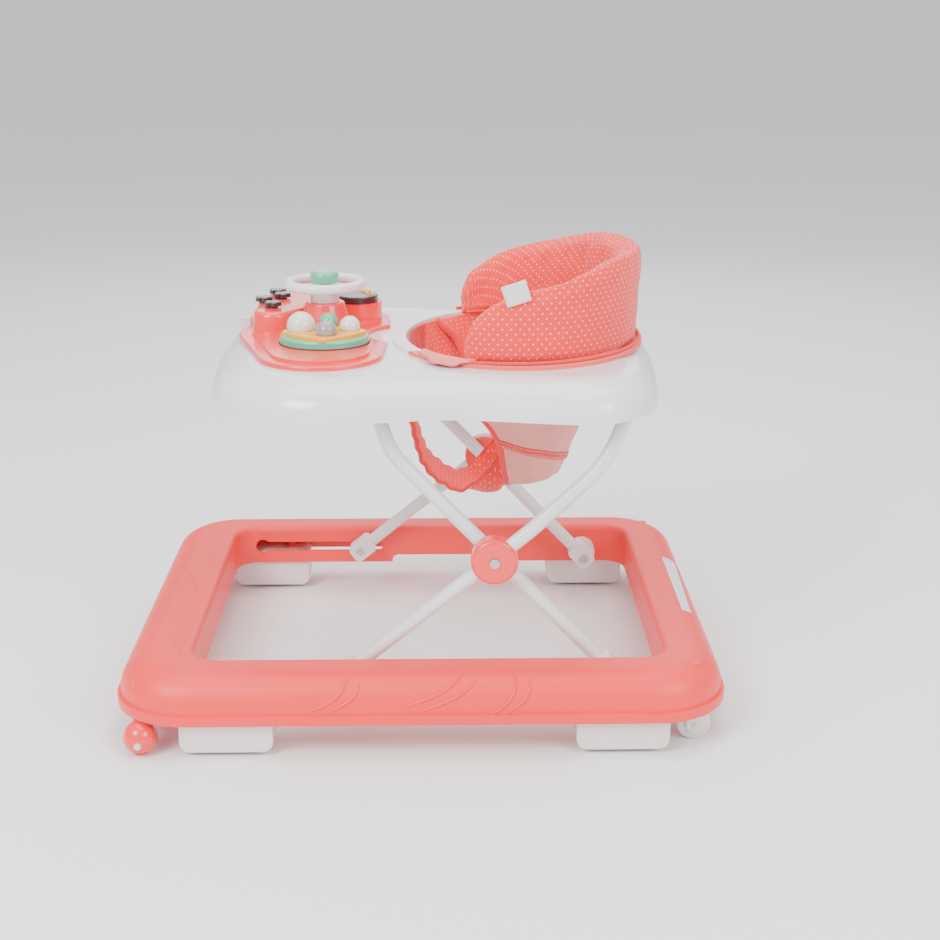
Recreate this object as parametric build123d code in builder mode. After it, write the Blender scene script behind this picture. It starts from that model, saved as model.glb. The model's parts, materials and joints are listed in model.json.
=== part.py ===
from build123d import *
import math
import os

os.makedirs("parts", exist_ok=True)

# Baby walker, in millimetres. +X points to the rear, +Y to the child's right, +Z up.
# The origin lies on the floor, under the middle of the base.

# ---- base ring -------------------------------------------------------------------------
BASE_LENGTH = 680.0
BASE_WIDTH = 580.0
BASE_TOP = 92.0
BASE_CORNER = 85.0
LIP_BOTTOM = 41.0
LIP_HEIGHT = 11.0
LIP_PROUD = 4.0
FRONT_RAIL = 84.0
REAR_RAIL = 68.0
SIDE_RAIL = 68.0
RING_CORNER = 30.0
SHOULDER = 34.0
CREST = 8.0
SHELL = 3.0

# ---- fold linkage ----------------------------------------------------------------------
TUBE = 16.0
FOOT_X = 215.5
FOOT_Z = 59.0
HUB_X = 81.0
HUB_Z = 200.0
SLIDER_X = -88.5
SLIDER_Z = 64.0
TRAY_PIVOT_X = 230.0
TRAY_PIVOT_Z = 374.0
BAR_X = -52.0
BAR_Z = 378.0
INNER_PLANE = 190.0
OUTER_PLANE = 208.0
OUTER_TOP_PLANE = 193.0
BOLT = 6.0
RUNNING_GAP = 0.06
FACE_GAP = 0.5
SLOT_LENGTH = 173.5
SLOT_HEIGHT = 12.5
SLOT_MID_X = -144.5
SLOT_MID_Z = 64.5
KEYHOLE = 19.0
SLIDER_PIN = 8.0
PIN_HEAD = 9.0
PIN_HEAD_THICK = 1.4
PIN_HEAD_GAP = 0.9
HUB_COVER = 52.0

# ---- wheels and pads -------------------------------------------------------------------
CASTER_X = -306.5
CASTER_Y = 250.5
CASTER_TRAIL = 17.0
CASTER_BALL = 38.0
CASTER_WHEEL = 34.0
CASTER_TREAD = 12.0
REAR_WHEEL_X = 302.0
REAR_WHEEL_Y = 238.0
REAR_WHEEL = 38.0
REAR_TREAD = 14.0
AXLE = 5.0
BRACKET_TOP = 66.0
PAD_FRONT_X = -212.0
PAD_REAR_X = 220.0
PAD_LENGTH = 102.0
PAD_DEPTH = 52.0
PAD_FLOOR_GAP = 5.0
PAD_TOP = 54.0
PAD_CORNER = 12.0
SOLE = 2.5
PAD_SCREW = 4.4

# ---- tray ------------------------------------------------------------------------------
TRAY_SKIRT_Z = 363.0
TRAY_RISE = 41.0
TRAY_SHOULDER = 52.0
TRAY_SQUARENESS = 2.4
TRAY_WALL = 3.0
TRAY_FRONT = 238.0
TRAY_REAR = 275.0
TRAY_BULGE = 241.0
TRAY_WAIST = 224.0
WELL_X = 113.0
WELL_LENGTH = 270.0
WELL_WIDTH = 320.0
RAIL_Y = 121.0
RAIL_WALL = 7.0
RAIL_SLOT_FRONT = -206.0
RAIL_SLOT_REAR = -25.0
RAIL_SLOT_CLEAR = 1.4
HANGER_Z = 391.0
BLOCK_TOP = 387.0
BLOCK_LENGTH = 20.0

# ---- seat ------------------------------------------------------------------------------
RIM_HEIGHT = 4.0
RIM_BAND = 12.0
SEAT_BACK_X = 106.0
SEAT_BACK_LENGTH = 302.0
SEAT_BACK_WIDTH = 330.0
SEAT_BACK_PAD = 32.0
SEAT_WING_X = 48.0
SEAT_BACK_LOW = 482.0
SEAT_BACK_HIGH = 524.0
BOWL_WALL = 4.0
BOWL_FLOOR = 244.0
STRAP_WIDTH = 84.0
STRAP = 6.0

# ---- toy console -----------------------------------------------------------------------
FLANGE = 5.0
CONSOLE_SKIRT = 14.0
DECK_Z = 412.0
POD_Z = 434.0
CONSOLE_WALL = 3.0
STEER_X = -114.0
STEER_Y = 22.0
CONE_TOP = 444.0
CONE_FOOT_D = 64.0
CONE_NECK_D = 46.0
WHEEL_D = 97.0
WHEEL_Z = 459.5
WHEEL_THICK = 11.5
WHEEL_RIM = 12.0
COLUMN_D = 34.0
STEER_STEM = 12.0
HORN_D = 34.0
HORN_Z = 467.5
HORN_TOP = 480.5
BEAD_X = -110.0
BEAD_Y = -58.0
BEAD_BASE_LENGTH = 102.0
BEAD_BASE_WIDTH = 88.0
BEAD_BASE_H = 9.0
BEAD_FRAME_H = 4.5
BEAD_PIN = 4.0
BEAD_GAP = 0.7
DIAL_X = -80.0
DIAL_Y = 94.0
DIAL_POD_D = 62.0
DIAL_POD_Z = 431.0
DIAL_D = 52.0
DIAL_H = 8.0
BUTTON_D = 22.0
BUTTON_H = 5.0
BUTTON_TRAVEL = 1.5
BUTTON_STEM = 12.0

SIDES = {"left": -1, "right": 1}

# Places that follow from the sizes above.
inner_front = -BASE_LENGTH / 2 + FRONT_RAIL
inner_rear = BASE_LENGTH / 2 - REAR_RAIL
inner_side = BASE_WIDTH / 2 - SIDE_RAIL
ring_mid_x = (inner_front + inner_rear) / 2
ring_length = inner_rear - inner_front
tray_top = TRAY_SKIRT_Z + TRAY_RISE
rim_top = tray_top + RIM_HEIGHT
pad_y = inner_side + SHELL + (SIDE_RAIL - LIP_PROUD - 2 * SHELL) / 2
tube_r = TUBE / 2


def tray_outline(inset):
    """Half of the tray's plan, front to rear, drawn in by inset."""
    return [
        (-TRAY_FRONT + inset, 0),
        (-TRAY_FRONT + 2 + inset, 90 - 0.3 * inset),
        (-TRAY_FRONT + 24 + 0.8 * inset, 178 - 0.75 * inset),
        (-TRAY_FRONT + 72 + 0.35 * inset, 221 - inset),
        (-105, TRAY_BULGE - inset),
        (11, TRAY_WAIST - inset),
        (140, TRAY_BULGE - inset),
        (TRAY_REAR - 75 - 0.25 * inset, TRAY_BULGE + 1 - inset),
        (TRAY_REAR - 32 - 0.8 * inset, 208 - 0.8 * inset),
        (TRAY_REAR - 7 - inset, 110 - 0.4 * inset),
        (TRAY_REAR - inset, 0),
    ]


def tray_form(inset, lift):
    """The tray's solid dome, drawn in by inset and raised by lift."""
    with BuildPart() as form:
        for step in range(6):
            turn = math.radians(18) * step
            power = 2 / TRAY_SQUARENESS
            reach = TRAY_SHOULDER * (1 - abs(math.cos(turn)) ** power) + inset
            level = TRAY_SKIRT_Z + TRAY_RISE * math.sin(turn) ** power + lift
            half = tray_outline(reach)
            far_half = [(x, -y) for x, y in half[-2:0:-1]]
            with BuildSketch(Plane.XY.offset(level)):
                with BuildLine():
                    Spline(half + far_half, periodic=True)
                make_face()
        loft()
    return form.part


def ring_form(inset, bottom, top, shoulder, crest):
    """The base's rounded ring, every wall drawn in by inset, between two heights."""
    with BuildPart() as form:
        with BuildSketch(Plane.XY.offset(bottom)):
            length = BASE_LENGTH - 2 * (LIP_PROUD + inset)
            width = BASE_WIDTH - 2 * (LIP_PROUD + inset)
            RectangleRounded(length, width, BASE_CORNER - LIP_PROUD - inset)
            with Locations((ring_mid_x, 0)):
                opening = (ring_length + 2 * inset, 2 * (inner_side + inset))
                RectangleRounded(*opening, RING_CORNER + inset, mode=Mode.SUBTRACT)
        extrude(amount=top - bottom)
        crown = form.faces().sort_by(Axis.Z)[-1]
        fillet(crown.outer_wire().edges(), radius=shoulder)
        crown = form.faces().sort_by(Axis.Z)[-1]
        fillet(crown.inner_wires()[0].edges(), radius=crest)
    return form.part


def build_base_ring():
    """The base: a hollow moulded ring, open below, slotted for the sliding feet."""
    hollow = ring_form(SHELL, LIP_BOTTOM - 1, BASE_TOP - SHELL, SHOULDER - SHELL, CREST - SHELL)
    body = ring_form(0, LIP_BOTTOM, BASE_TOP, SHOULDER, CREST)
    with BuildPart() as base_ring:
        add(body)
        add(hollow, mode=Mode.SUBTRACT)
        with BuildSketch(Plane.XY.offset(LIP_BOTTOM)):
            RectangleRounded(BASE_LENGTH, BASE_WIDTH, BASE_CORNER)
            skin = 2 * (LIP_PROUD + 1)
            RectangleRounded(BASE_LENGTH - skin, BASE_WIDTH - skin, BASE_CORNER - skin / 2, mode=Mode.SUBTRACT)
        extrude(amount=LIP_HEIGHT)
        for x in (PAD_FRONT_X, PAD_REAR_X):
            for y in (-pad_y, pad_y):
                with BuildSketch(Plane.XY.offset(PAD_TOP)):
                    with Locations((x - PAD_LENGTH / 4, y), (x + PAD_LENGTH / 4, y)):
                        Circle(PAD_SCREW / 2 + 3.5)
                extrude(amount=BASE_TOP - PAD_TOP - SHELL / 2)
                with BuildSketch(Plane.XY.offset(PAD_TOP - 1)):
                    with Locations((x - PAD_LENGTH / 4, y), (x + PAD_LENGTH / 4, y)):
                        Circle(PAD_SCREW / 2)
                extrude(amount=17, mode=Mode.SUBTRACT)
        with BuildSketch(Plane.XZ):
            with Locations((SLOT_MID_X, SLOT_MID_Z)):
                SlotOverall(SLOT_LENGTH, SLOT_HEIGHT)
            with Locations((SLOT_MID_X - SLOT_LENGTH / 2 + KEYHOLE / 2 - 1, SLOT_MID_Z)):
                Circle(KEYHOLE / 2)
        extrude(amount=inner_side + SHELL + 0.5, both=True, mode=Mode.SUBTRACT)
        with BuildSketch(Plane.XZ):
            with Locations((FOOT_X, FOOT_Z)):
                Circle(BOLT / 2)
        extrude(amount=inner_side + SHELL + 0.5, both=True, mode=Mode.SUBTRACT)
        with BuildSketch(Plane.XZ):
            with Locations((30, LIP_BOTTOM)):
                RectangleRounded(150, 20, 8)
        extrude(amount=inner_side + SHELL + 0.5, both=True, mode=Mode.SUBTRACT)
        with BuildSketch(Plane.XY.offset(BRACKET_TOP)):
            with Locations((REAR_WHEEL_X - 4, -REAR_WHEEL_Y), (REAR_WHEEL_X - 4, REAR_WHEEL_Y)):
                Rectangle(16, 14)
        extrude(amount=BASE_TOP - SHELL / 2 - BRACKET_TOP)
        with BuildSketch(Plane.XY.offset(50)):
            with Locations((CASTER_X, -CASTER_Y), (CASTER_X, CASTER_Y)):
                Circle(9)
        extrude(amount=30)
        with BuildSketch(Plane.XY.offset(49)):
            with Locations((CASTER_X, -CASTER_Y), (CASTER_X, CASTER_Y)):
                Circle(5.5)
        extrude(amount=27, mode=Mode.SUBTRACT)
    base_ring.part.label = "base_ring"
    export_step(base_ring.part, "parts/base_ring.step")


def build_stop_pads():
    """Four rounded blocks that stop the walker at a stair edge, and their rubber soles."""
    for row, x in (("front", PAD_FRONT_X), ("rear", PAD_REAR_X)):
        for side, hand in SIDES.items():
            with BuildPart() as stop_pad:
                with BuildSketch(Plane.XZ.offset(-hand * pad_y)):
                    with Locations((x, (PAD_FLOOR_GAP + PAD_TOP) / 2)):
                        RectangleRounded(PAD_LENGTH, PAD_TOP - PAD_FLOOR_GAP, PAD_CORNER)
                extrude(amount=PAD_DEPTH / 2, both=True)
                with BuildSketch(Plane.XY.offset(PAD_FLOOR_GAP)):
                    with Locations((x, hand * pad_y)):
                        Rectangle(PAD_LENGTH - 34, PAD_DEPTH - 20)
                extrude(amount=SOLE - 1, mode=Mode.SUBTRACT)
                with BuildSketch(Plane.XY.offset(PAD_FLOOR_GAP)):
                    with Locations((x - PAD_LENGTH / 4, hand * pad_y), (x + PAD_LENGTH / 4, hand * pad_y)):
                        Circle(PAD_SCREW)
                extrude(amount=PAD_TOP - PAD_FLOOR_GAP - 8, mode=Mode.SUBTRACT)
                with BuildSketch(Plane.XY.offset(PAD_FLOOR_GAP)):
                    with Locations((x - PAD_LENGTH / 4, hand * pad_y), (x + PAD_LENGTH / 4, hand * pad_y)):
                        Circle(PAD_SCREW / 2)
                extrude(amount=PAD_TOP, mode=Mode.SUBTRACT)
                ends = stop_pad.faces().filter_by(Axis.Y)
                fillet(ends.edges().filter_by(GeomType.CIRCLE), radius=2)
            name = f"stop_pad_{row}_{side}"
            stop_pad.part.label = name
            export_step(stop_pad.part, f"parts/{name}.step")

    with BuildPart() as pad_soles:
        for x in (PAD_FRONT_X, PAD_REAR_X):
            for y in (-pad_y, pad_y):
                with BuildSketch(Plane.XY.offset(PAD_FLOOR_GAP - 1)):
                    with Locations((x, y)):
                        Rectangle(PAD_LENGTH - 34, PAD_DEPTH - 20)
                        with Locations((-PAD_LENGTH / 4, 0), (PAD_LENGTH / 4, 0)):
                            Circle(PAD_SCREW + 1, mode=Mode.SUBTRACT)
                extrude(amount=SOLE)
    pad_soles.part.label = "pad_soles"
    export_step(pad_soles.part, "parts/pad_soles.step")

    with BuildPart() as pad_screws:
        head_z = PAD_TOP - 8
        for x in (PAD_FRONT_X, PAD_REAR_X):
            for y in (-pad_y, pad_y):
                spots = [(x - PAD_LENGTH / 4, y), (x + PAD_LENGTH / 4, y)]
                with BuildSketch(Plane.XY.offset(head_z - 3)):
                    with Locations(*spots):
                        Circle(PAD_SCREW - 0.3)
                extrude(amount=3)
                with BuildSketch(Plane.XY.offset(head_z)):
                    with Locations(*spots):
                        Circle(PAD_SCREW / 2)
                extrude(amount=20)
    pad_screws.part.label = "pad_screws"
    export_step(pad_screws.part, "parts/pad_screws.step")


def build_casters():
    """Swivel casters under the front corners: socket, ball hood with stem, wheel and axle."""
    ball_z = CASTER_BALL / 2 + 0.5
    wheel_z = CASTER_WHEEL / 2
    with BuildPart() as caster_sockets:
        with BuildSketch(Plane.XY.offset(LIP_BOTTOM)):
            with Locations((CASTER_X, -CASTER_Y), (CASTER_X, CASTER_Y)):
                Circle(7.5)
                Circle(4 + RUNNING_GAP, mode=Mode.SUBTRACT)
        extrude(amount=9)
        with BuildSketch(Plane.XY.offset(50)):
            with Locations((CASTER_X, -CASTER_Y), (CASTER_X, CASTER_Y)):
                Circle(5.5)
                Circle(4 + RUNNING_GAP, mode=Mode.SUBTRACT)
        extrude(amount=24)
    caster_sockets.part.label = "caster_sockets"
    export_step(caster_sockets.part, "parts/caster_sockets.step")

    for side, hand in SIDES.items():
        y = hand * (CASTER_Y + CASTER_TRAIL)
        with BuildPart() as caster_hood:
            with Locations((CASTER_X, y, ball_z)):
                Sphere(CASTER_BALL / 2)
            with BuildSketch(Plane.XY.offset(ball_z + 10)):
                with Locations((CASTER_X, hand * (CASTER_Y + CASTER_TRAIL / 2))):
                    Rectangle(13, CASTER_TRAIL)
                with Locations((CASTER_X, hand * CASTER_Y)):
                    Circle(7)
            extrude(amount=CASTER_BALL / 2 - 10 + 1.2)
            with BuildSketch(Plane.XY.offset(ball_z + 12)):
                with Locations((CASTER_X, hand * CASTER_Y)):
                    Circle(4)
            extrude(amount=72 - ball_z - 12)
            with Locations((CASTER_X, y, 0)):
                Box(2 * CASTER_BALL, 2 * CASTER_BALL, 2 * 6.5, mode=Mode.SUBTRACT)
            with BuildSketch(Plane.XZ.offset(-y)):
                with Locations((CASTER_X, wheel_z)):
                    Circle(CASTER_WHEEL / 2 + 1)
            extrude(amount=CASTER_TREAD / 2 + 0.6, both=True, mode=Mode.SUBTRACT)
            with BuildSketch(Plane.XZ.offset(-y)):
                with Locations((CASTER_X, wheel_z)):
                    Circle(AXLE / 2)
            extrude(amount=CASTER_BALL, both=True, mode=Mode.SUBTRACT)
        caster_hood.part.label = f"caster_hood_{side}"
        export_step(caster_hood.part, f"parts/caster_hood_{side}.step")

        with BuildPart() as caster_wheel:
            with BuildSketch(Plane.XZ.offset(-y)):
                with Locations((CASTER_X, wheel_z)):
                    Circle(CASTER_WHEEL / 2)
                    Circle(AXLE / 2 + RUNNING_GAP, mode=Mode.SUBTRACT)
            extrude(amount=CASTER_TREAD / 2, both=True)
            rims = caster_wheel.edges().filter_by(GeomType.CIRCLE).group_by(SortBy.LENGTH)[-1]
            fillet(rims, radius=2.5)
        caster_wheel.part.label = f"caster_wheel_{side}"
        export_step(caster_wheel.part, f"parts/caster_wheel_{side}.step")

        with BuildPart() as caster_axle:
            with BuildSketch(Plane.XZ.offset(-y)):
                with Locations((CASTER_X, wheel_z)):
                    Circle(AXLE / 2)
            extrude(amount=CASTER_BALL / 2 + 0.05, both=True)
            for end in (-1, 1):
                with BuildSketch(Plane.XZ.offset(-y + end * (CASTER_BALL / 2 + 1.25))):
                    with Locations((CASTER_X, wheel_z)):
                        Circle(4)
                extrude(amount=-end * 1.2)
        caster_axle.part.label = f"caster_axle_{side}"
        export_step(caster_axle.part, f"parts/caster_axle_{side}.step")


def build_rear_wheels():
    """Fixed rear wheels in forks that hang from the hollow of the rear rail."""
    wheel_z = REAR_WHEEL / 2
    with BuildPart() as rear_wheel_brackets:
        for hand in SIDES.values():
            y = hand * REAR_WHEEL_Y
            with BuildSketch(Plane.XY.offset(LIP_BOTTOM + 1)):
                with Locations((REAR_WHEEL_X, y)):
                    RectangleRounded(34, REAR_TREAD + 14, 4)
            extrude(amount=BRACKET_TOP - LIP_BOTTOM - 1)
            for cheek in (-1, 1):
                with BuildSketch(Plane.XZ.offset(-(y + cheek * (REAR_TREAD / 2 + 0.5)))):
                    with Locations((REAR_WHEEL_X, wheel_z)):
                        Circle(9)
                    with Locations((REAR_WHEEL_X, (wheel_z + LIP_BOTTOM + 2) / 2)):
                        Rectangle(18, LIP_BOTTOM + 2 - wheel_z)
                extrude(amount=-cheek * 4)
            with BuildSketch(Plane.XZ.offset(-y)):
                with Locations((REAR_WHEEL_X, wheel_z)):
                    Circle(AXLE / 2)
            extrude(amount=30, both=True, mode=Mode.SUBTRACT)
    rear_wheel_brackets.part.label = "rear_wheel_brackets"
    export_step(rear_wheel_brackets.part, "parts/rear_wheel_brackets.step")

    with BuildPart() as rear_axles:
        for hand in SIDES.values():
            with BuildSketch(Plane.XZ.offset(-hand * REAR_WHEEL_Y)):
                with Locations((REAR_WHEEL_X, wheel_z)):
                    Circle(AXLE / 2)
            extrude(amount=REAR_TREAD / 2 + 6, both=True)
    rear_axles.part.label = "rear_axles"
    export_step(rear_axles.part, "parts/rear_axles.step")

    for side, hand in SIDES.items():
        with BuildPart() as rear_wheel:
            with BuildSketch(Plane.XZ.offset(-hand * REAR_WHEEL_Y)):
                with Locations((REAR_WHEEL_X, wheel_z)):
                    Circle(REAR_WHEEL / 2)
                    Circle(AXLE / 2 + RUNNING_GAP, mode=Mode.SUBTRACT)
            extrude(amount=REAR_TREAD / 2, both=True)
            rims = rear_wheel.edges().filter_by(GeomType.CIRCLE).group_by(SortBy.LENGTH)[-1]
            fillet(rims, radius=3)
        rear_wheel.part.label = f"rear_wheel_{side}"
        export_step(rear_wheel.part, f"parts/rear_wheel_{side}.step")


def bore_across(x, z, diameter):
    """A bore along Y, cut right across the part being built."""
    with BuildSketch(Plane.XZ) as hole:
        with Locations((x, z)):
            Circle(diameter / 2)
    extrude(hole.sketch, amount=BASE_WIDTH / 2, both=True, mode=Mode.SUBTRACT)


def foot_block(x, z, rise, near, far):
    """A rounded block round a leg's end, turned to the leg, between two values of Y."""
    with BuildSketch(Plane.XZ.offset(-near)) as outline:
        with Locations(Location((x, z), rise)):
            with Locations((5, 0)):
                RectangleRounded(34, 24, 7)
    extrude(outline.sketch, amount=-(far - near))


inner_rise = math.degrees(math.atan2(HUB_Z - FOOT_Z, HUB_X - FOOT_X))
outer_rise = math.degrees(math.atan2(HUB_Z - SLIDER_Z, HUB_X - SLIDER_X))
knee_reach = 0.825 * (FOOT_X - HUB_X) + FOOT_X - HUB_X
inner_knee_x = FOOT_X - knee_reach
inner_knee_z = FOOT_Z + knee_reach * (HUB_Z - FOOT_Z) / (FOOT_X - HUB_X)
outer_knee_x = HUB_X + 39
outer_knee_z = HUB_Z + 33.5
outer_bend_x = TRAY_PIVOT_X - 29
outer_bend_z = TRAY_PIVOT_Z - 64


def build_inner_frame():
    """The U-shaped frame: hinged at the rear of the base, its bar slides under the tray."""
    y = INNER_PLANE
    route = [
        (FOOT_X, -y, FOOT_Z),
        (inner_knee_x, -y, inner_knee_z),
        (BAR_X, -y, BAR_Z),
        (BAR_X, y, BAR_Z),
        (inner_knee_x, y, inner_knee_z),
        (FOOT_X, y, FOOT_Z),
    ]
    with BuildPart() as inner_frame:
        with BuildLine() as path:
            FilletPolyline(*route, radius=[80, 38, 38, 80])
        start = Plane(origin=path.line @ 0, z_dir=path.line % 0)
        with BuildSketch(start):
            Circle(tube_r)
            Circle(tube_r - 1.5, mode=Mode.SUBTRACT)
        sweep()
        bore_across(FOOT_X, FOOT_Z, BOLT + 2 * RUNNING_GAP)
        bore_across(HUB_X, HUB_Z, BOLT)
    inner_frame.part.label = "inner_frame"
    export_step(inner_frame.part, "parts/inner_frame.step")

    with BuildPart() as inner_feet:
        for hand in SIDES.values():
            near, far = sorted((hand * (INNER_PLANE - 11), hand * (INNER_PLANE + 17)))
            foot_block(FOOT_X, FOOT_Z, inner_rise, near, far)
        bore_across(FOOT_X, FOOT_Z, BOLT + 2 * RUNNING_GAP)
        lower_leg_cut(FOOT_X, FOOT_Z, HUB_X, HUB_Z, INNER_PLANE)
    inner_feet.part.label = "inner_feet"
    export_step(inner_feet.part, "parts/inner_feet.step")


def lower_leg_cut(x, z, to_x, to_z, plane_y):
    """Cuts the straight lower stretch of both legs of a frame out of the part being built."""
    reach = Vector(to_x - x, 0, to_z - z).length + 2 * tube_r
    back = 1.0
    for hand in SIDES.values():
        along = Vector(to_x - x, 0, to_z - z).normalized()
        origin = Vector(x, hand * plane_y, z) - along * back
        with BuildSketch(Plane(origin=origin, z_dir=along)) as section:
            Circle(tube_r)
        extrude(section.sketch, amount=reach + back, mode=Mode.SUBTRACT)


def build_outer_legs():
    """The crossing legs: feet slide in the base's slots, tops hinge under the tray."""
    for side, hand in SIDES.items():
        y = hand * OUTER_PLANE
        top_y = hand * OUTER_TOP_PLANE
        route = [
            (SLIDER_X, y, SLIDER_Z),
            (outer_knee_x, y, outer_knee_z),
            (outer_bend_x, y, outer_bend_z),
            (TRAY_PIVOT_X, top_y, TRAY_PIVOT_Z),
        ]
        with BuildPart() as outer_leg:
            with BuildLine() as path:
                FilletPolyline(*route, radius=[300, 130])
            start = Plane(origin=path.line @ 0, z_dir=path.line % 0)
            with BuildSketch(start):
                Circle(tube_r)
                Circle(tube_r - 1.5, mode=Mode.SUBTRACT)
            sweep()
            with BuildSketch(Plane.XZ.offset(-top_y)):
                with Locations((TRAY_PIVOT_X, TRAY_PIVOT_Z)):
                    Circle(tube_r + 1.5)
            extrude(amount=tube_r + 0.6, both=True)
            bore_across(TRAY_PIVOT_X, TRAY_PIVOT_Z, BOLT + 2 * RUNNING_GAP)
            bore_across(HUB_X, HUB_Z, BOLT + 2 * RUNNING_GAP)
            bore_across(SLIDER_X, SLIDER_Z, BOLT)
        outer_leg.part.label = f"outer_leg_{side}"
        export_step(outer_leg.part, f"parts/outer_leg_{side}.step")

        with BuildPart() as outer_foot:
            near, far = sorted((hand * (OUTER_PLANE - 9.5), hand * (OUTER_PLANE + 11.5)))
            foot_block(SLIDER_X, SLIDER_Z, outer_rise, near, far)
            bore_across(SLIDER_X, SLIDER_Z, BOLT)
            lower_leg_cut(SLIDER_X, SLIDER_Z, outer_knee_x, outer_knee_z, OUTER_PLANE)
        outer_foot.part.label = f"outer_foot_{side}"
        export_step(outer_foot.part, f"parts/outer_foot_{side}.step")

        with BuildPart() as hub_cover:
            inside = INNER_PLANE + tube_r + 1.5
            outside = OUTER_PLANE + tube_r + 3.5
            with BuildSketch(Plane.XZ.offset(-hand * inside)):
                with Locations((HUB_X, HUB_Z)):
                    Circle(HUB_COVER / 2)
            extrude(amount=-hand * (outside - inside))
            rim = hub_cover.faces().filter_by(Axis.Y).sort_by(Axis.Y)[-1 if hand > 0 else 0]
            fillet(rim.edges(), radius=5)
            bore_across(HUB_X, HUB_Z, BOLT + 2 * RUNNING_GAP)
            lower_leg_cut(SLIDER_X, SLIDER_Z, outer_knee_x, outer_knee_z, OUTER_PLANE)
        hub_cover.part.label = f"hub_cover_{side}"
        export_step(hub_cover.part, f"parts/hub_cover_{side}.step")


def bolt_across(x, z, near, far, head, thick):
    """Two mirrored bolts along Y: a head beyond the outer end, a nut at the inner end."""
    for hand in SIDES.values():
        spans = [(near, far - near, BOLT), (far, thick, head), (near, -thick, head)]
        for start, length, diameter in spans:
            with BuildSketch(Plane.XZ.offset(-hand * start)) as section:
                with Locations((x, z)):
                    Circle(diameter / 2)
            extrude(section.sketch, amount=-hand * length)


def build_pivots():
    """Bolts, pins and spacers of the fold linkage."""
    with BuildPart() as rear_pivot_discs:
        for hand in SIDES.values():
            with BuildSketch(Plane.XZ.offset(-hand * (INNER_PLANE + 17 + FACE_GAP))):
                with Locations((FOOT_X, FOOT_Z)):
                    Circle(17)
                    Circle(BOLT / 2, mode=Mode.SUBTRACT)
            extrude(amount=-hand * (inner_side - INNER_PLANE - 17 - FACE_GAP))
    rear_pivot_discs.part.label = "rear_pivot_discs"
    export_step(rear_pivot_discs.part, "parts/rear_pivot_discs.step")

    with BuildPart() as rear_pivot_bolts:
        bolt_across(FOOT_X, FOOT_Z, INNER_PLANE - 11 - FACE_GAP, inner_side + SHELL, 11, 3)
    rear_pivot_bolts.part.label = "rear_pivot_bolts"
    export_step(rear_pivot_bolts.part, "parts/rear_pivot_bolts.step")

    with BuildPart() as hub_bolts:
        cover_face = OUTER_PLANE + tube_r + 3.5
        bolt_across(HUB_X, HUB_Z, INNER_PLANE - tube_r, cover_face + 0.4, 11, 2.2)
    hub_bolts.part.label = "hub_bolts"
    export_step(hub_bolts.part, "parts/hub_bolts.step")

    with BuildPart() as slider_pins:
        face = OUTER_PLANE + 11.5
        for hand in SIDES.values():
            with BuildSketch(Plane.XZ.offset(-hand * (OUTER_PLANE - 9.5))):
                with Locations((SLIDER_X, SLIDER_Z)):
                    Circle(BOLT / 2)
            extrude(amount=-hand * 21)
            with BuildSketch(Plane.XZ.offset(-hand * face)):
                with Locations((SLIDER_X, SLIDER_Z)):
                    Circle(SLIDER_PIN / 2)
            extrude(amount=-hand * (inner_side + SHELL + 1 - face))
            with BuildSketch(Plane.XZ.offset(-hand * (inner_side + SHELL + 0.8))):
                with Locations((SLIDER_X, SLIDER_Z)):
                    Circle(SLIDER_PIN)
            extrude(amount=-hand * 3)
            with BuildSketch(Plane.XZ.offset(-hand * (OUTER_PLANE - 9.5))):
                with Locations((SLIDER_X, SLIDER_Z)):
                    Circle(5)
            extrude(amount=hand * 1.8)
    slider_pins.part.label = "slider_pins"
    export_step(slider_pins.part, "parts/slider_pins.step")

    with BuildPart() as tray_pivot_pins:
        for hand in SIDES.values():
            with BuildSketch(Plane.XZ.offset(-hand * (block_y - block_wall / 2))):
                with Locations((TRAY_PIVOT_X, TRAY_PIVOT_Z)):
                    Circle(BOLT / 2)
            extrude(amount=-hand * (eye_end + PIN_HEAD_GAP - block_y + block_wall / 2))
            with BuildSketch(Plane.XZ.offset(-hand * (eye_end + PIN_HEAD_GAP))):
                with Locations((TRAY_PIVOT_X, TRAY_PIVOT_Z)):
                    Circle(PIN_HEAD / 2)
            extrude(amount=-hand * PIN_HEAD_THICK)
    tray_pivot_pins.part.label = "tray_pivot_pins"
    export_step(tray_pivot_pins.part, "parts/tray_pivot_pins.step")


eye_end = OUTER_TOP_PLANE + tube_r + 0.6
rail_mid_x = (RAIL_SLOT_FRONT + RAIL_SLOT_REAR) / 2
rail_span = RAIL_SLOT_REAR - RAIL_SLOT_FRONT
block_wall = 17.0
block_y = OUTER_TOP_PLANE - tube_r - 0.6 - FACE_GAP - block_wall / 2


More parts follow.
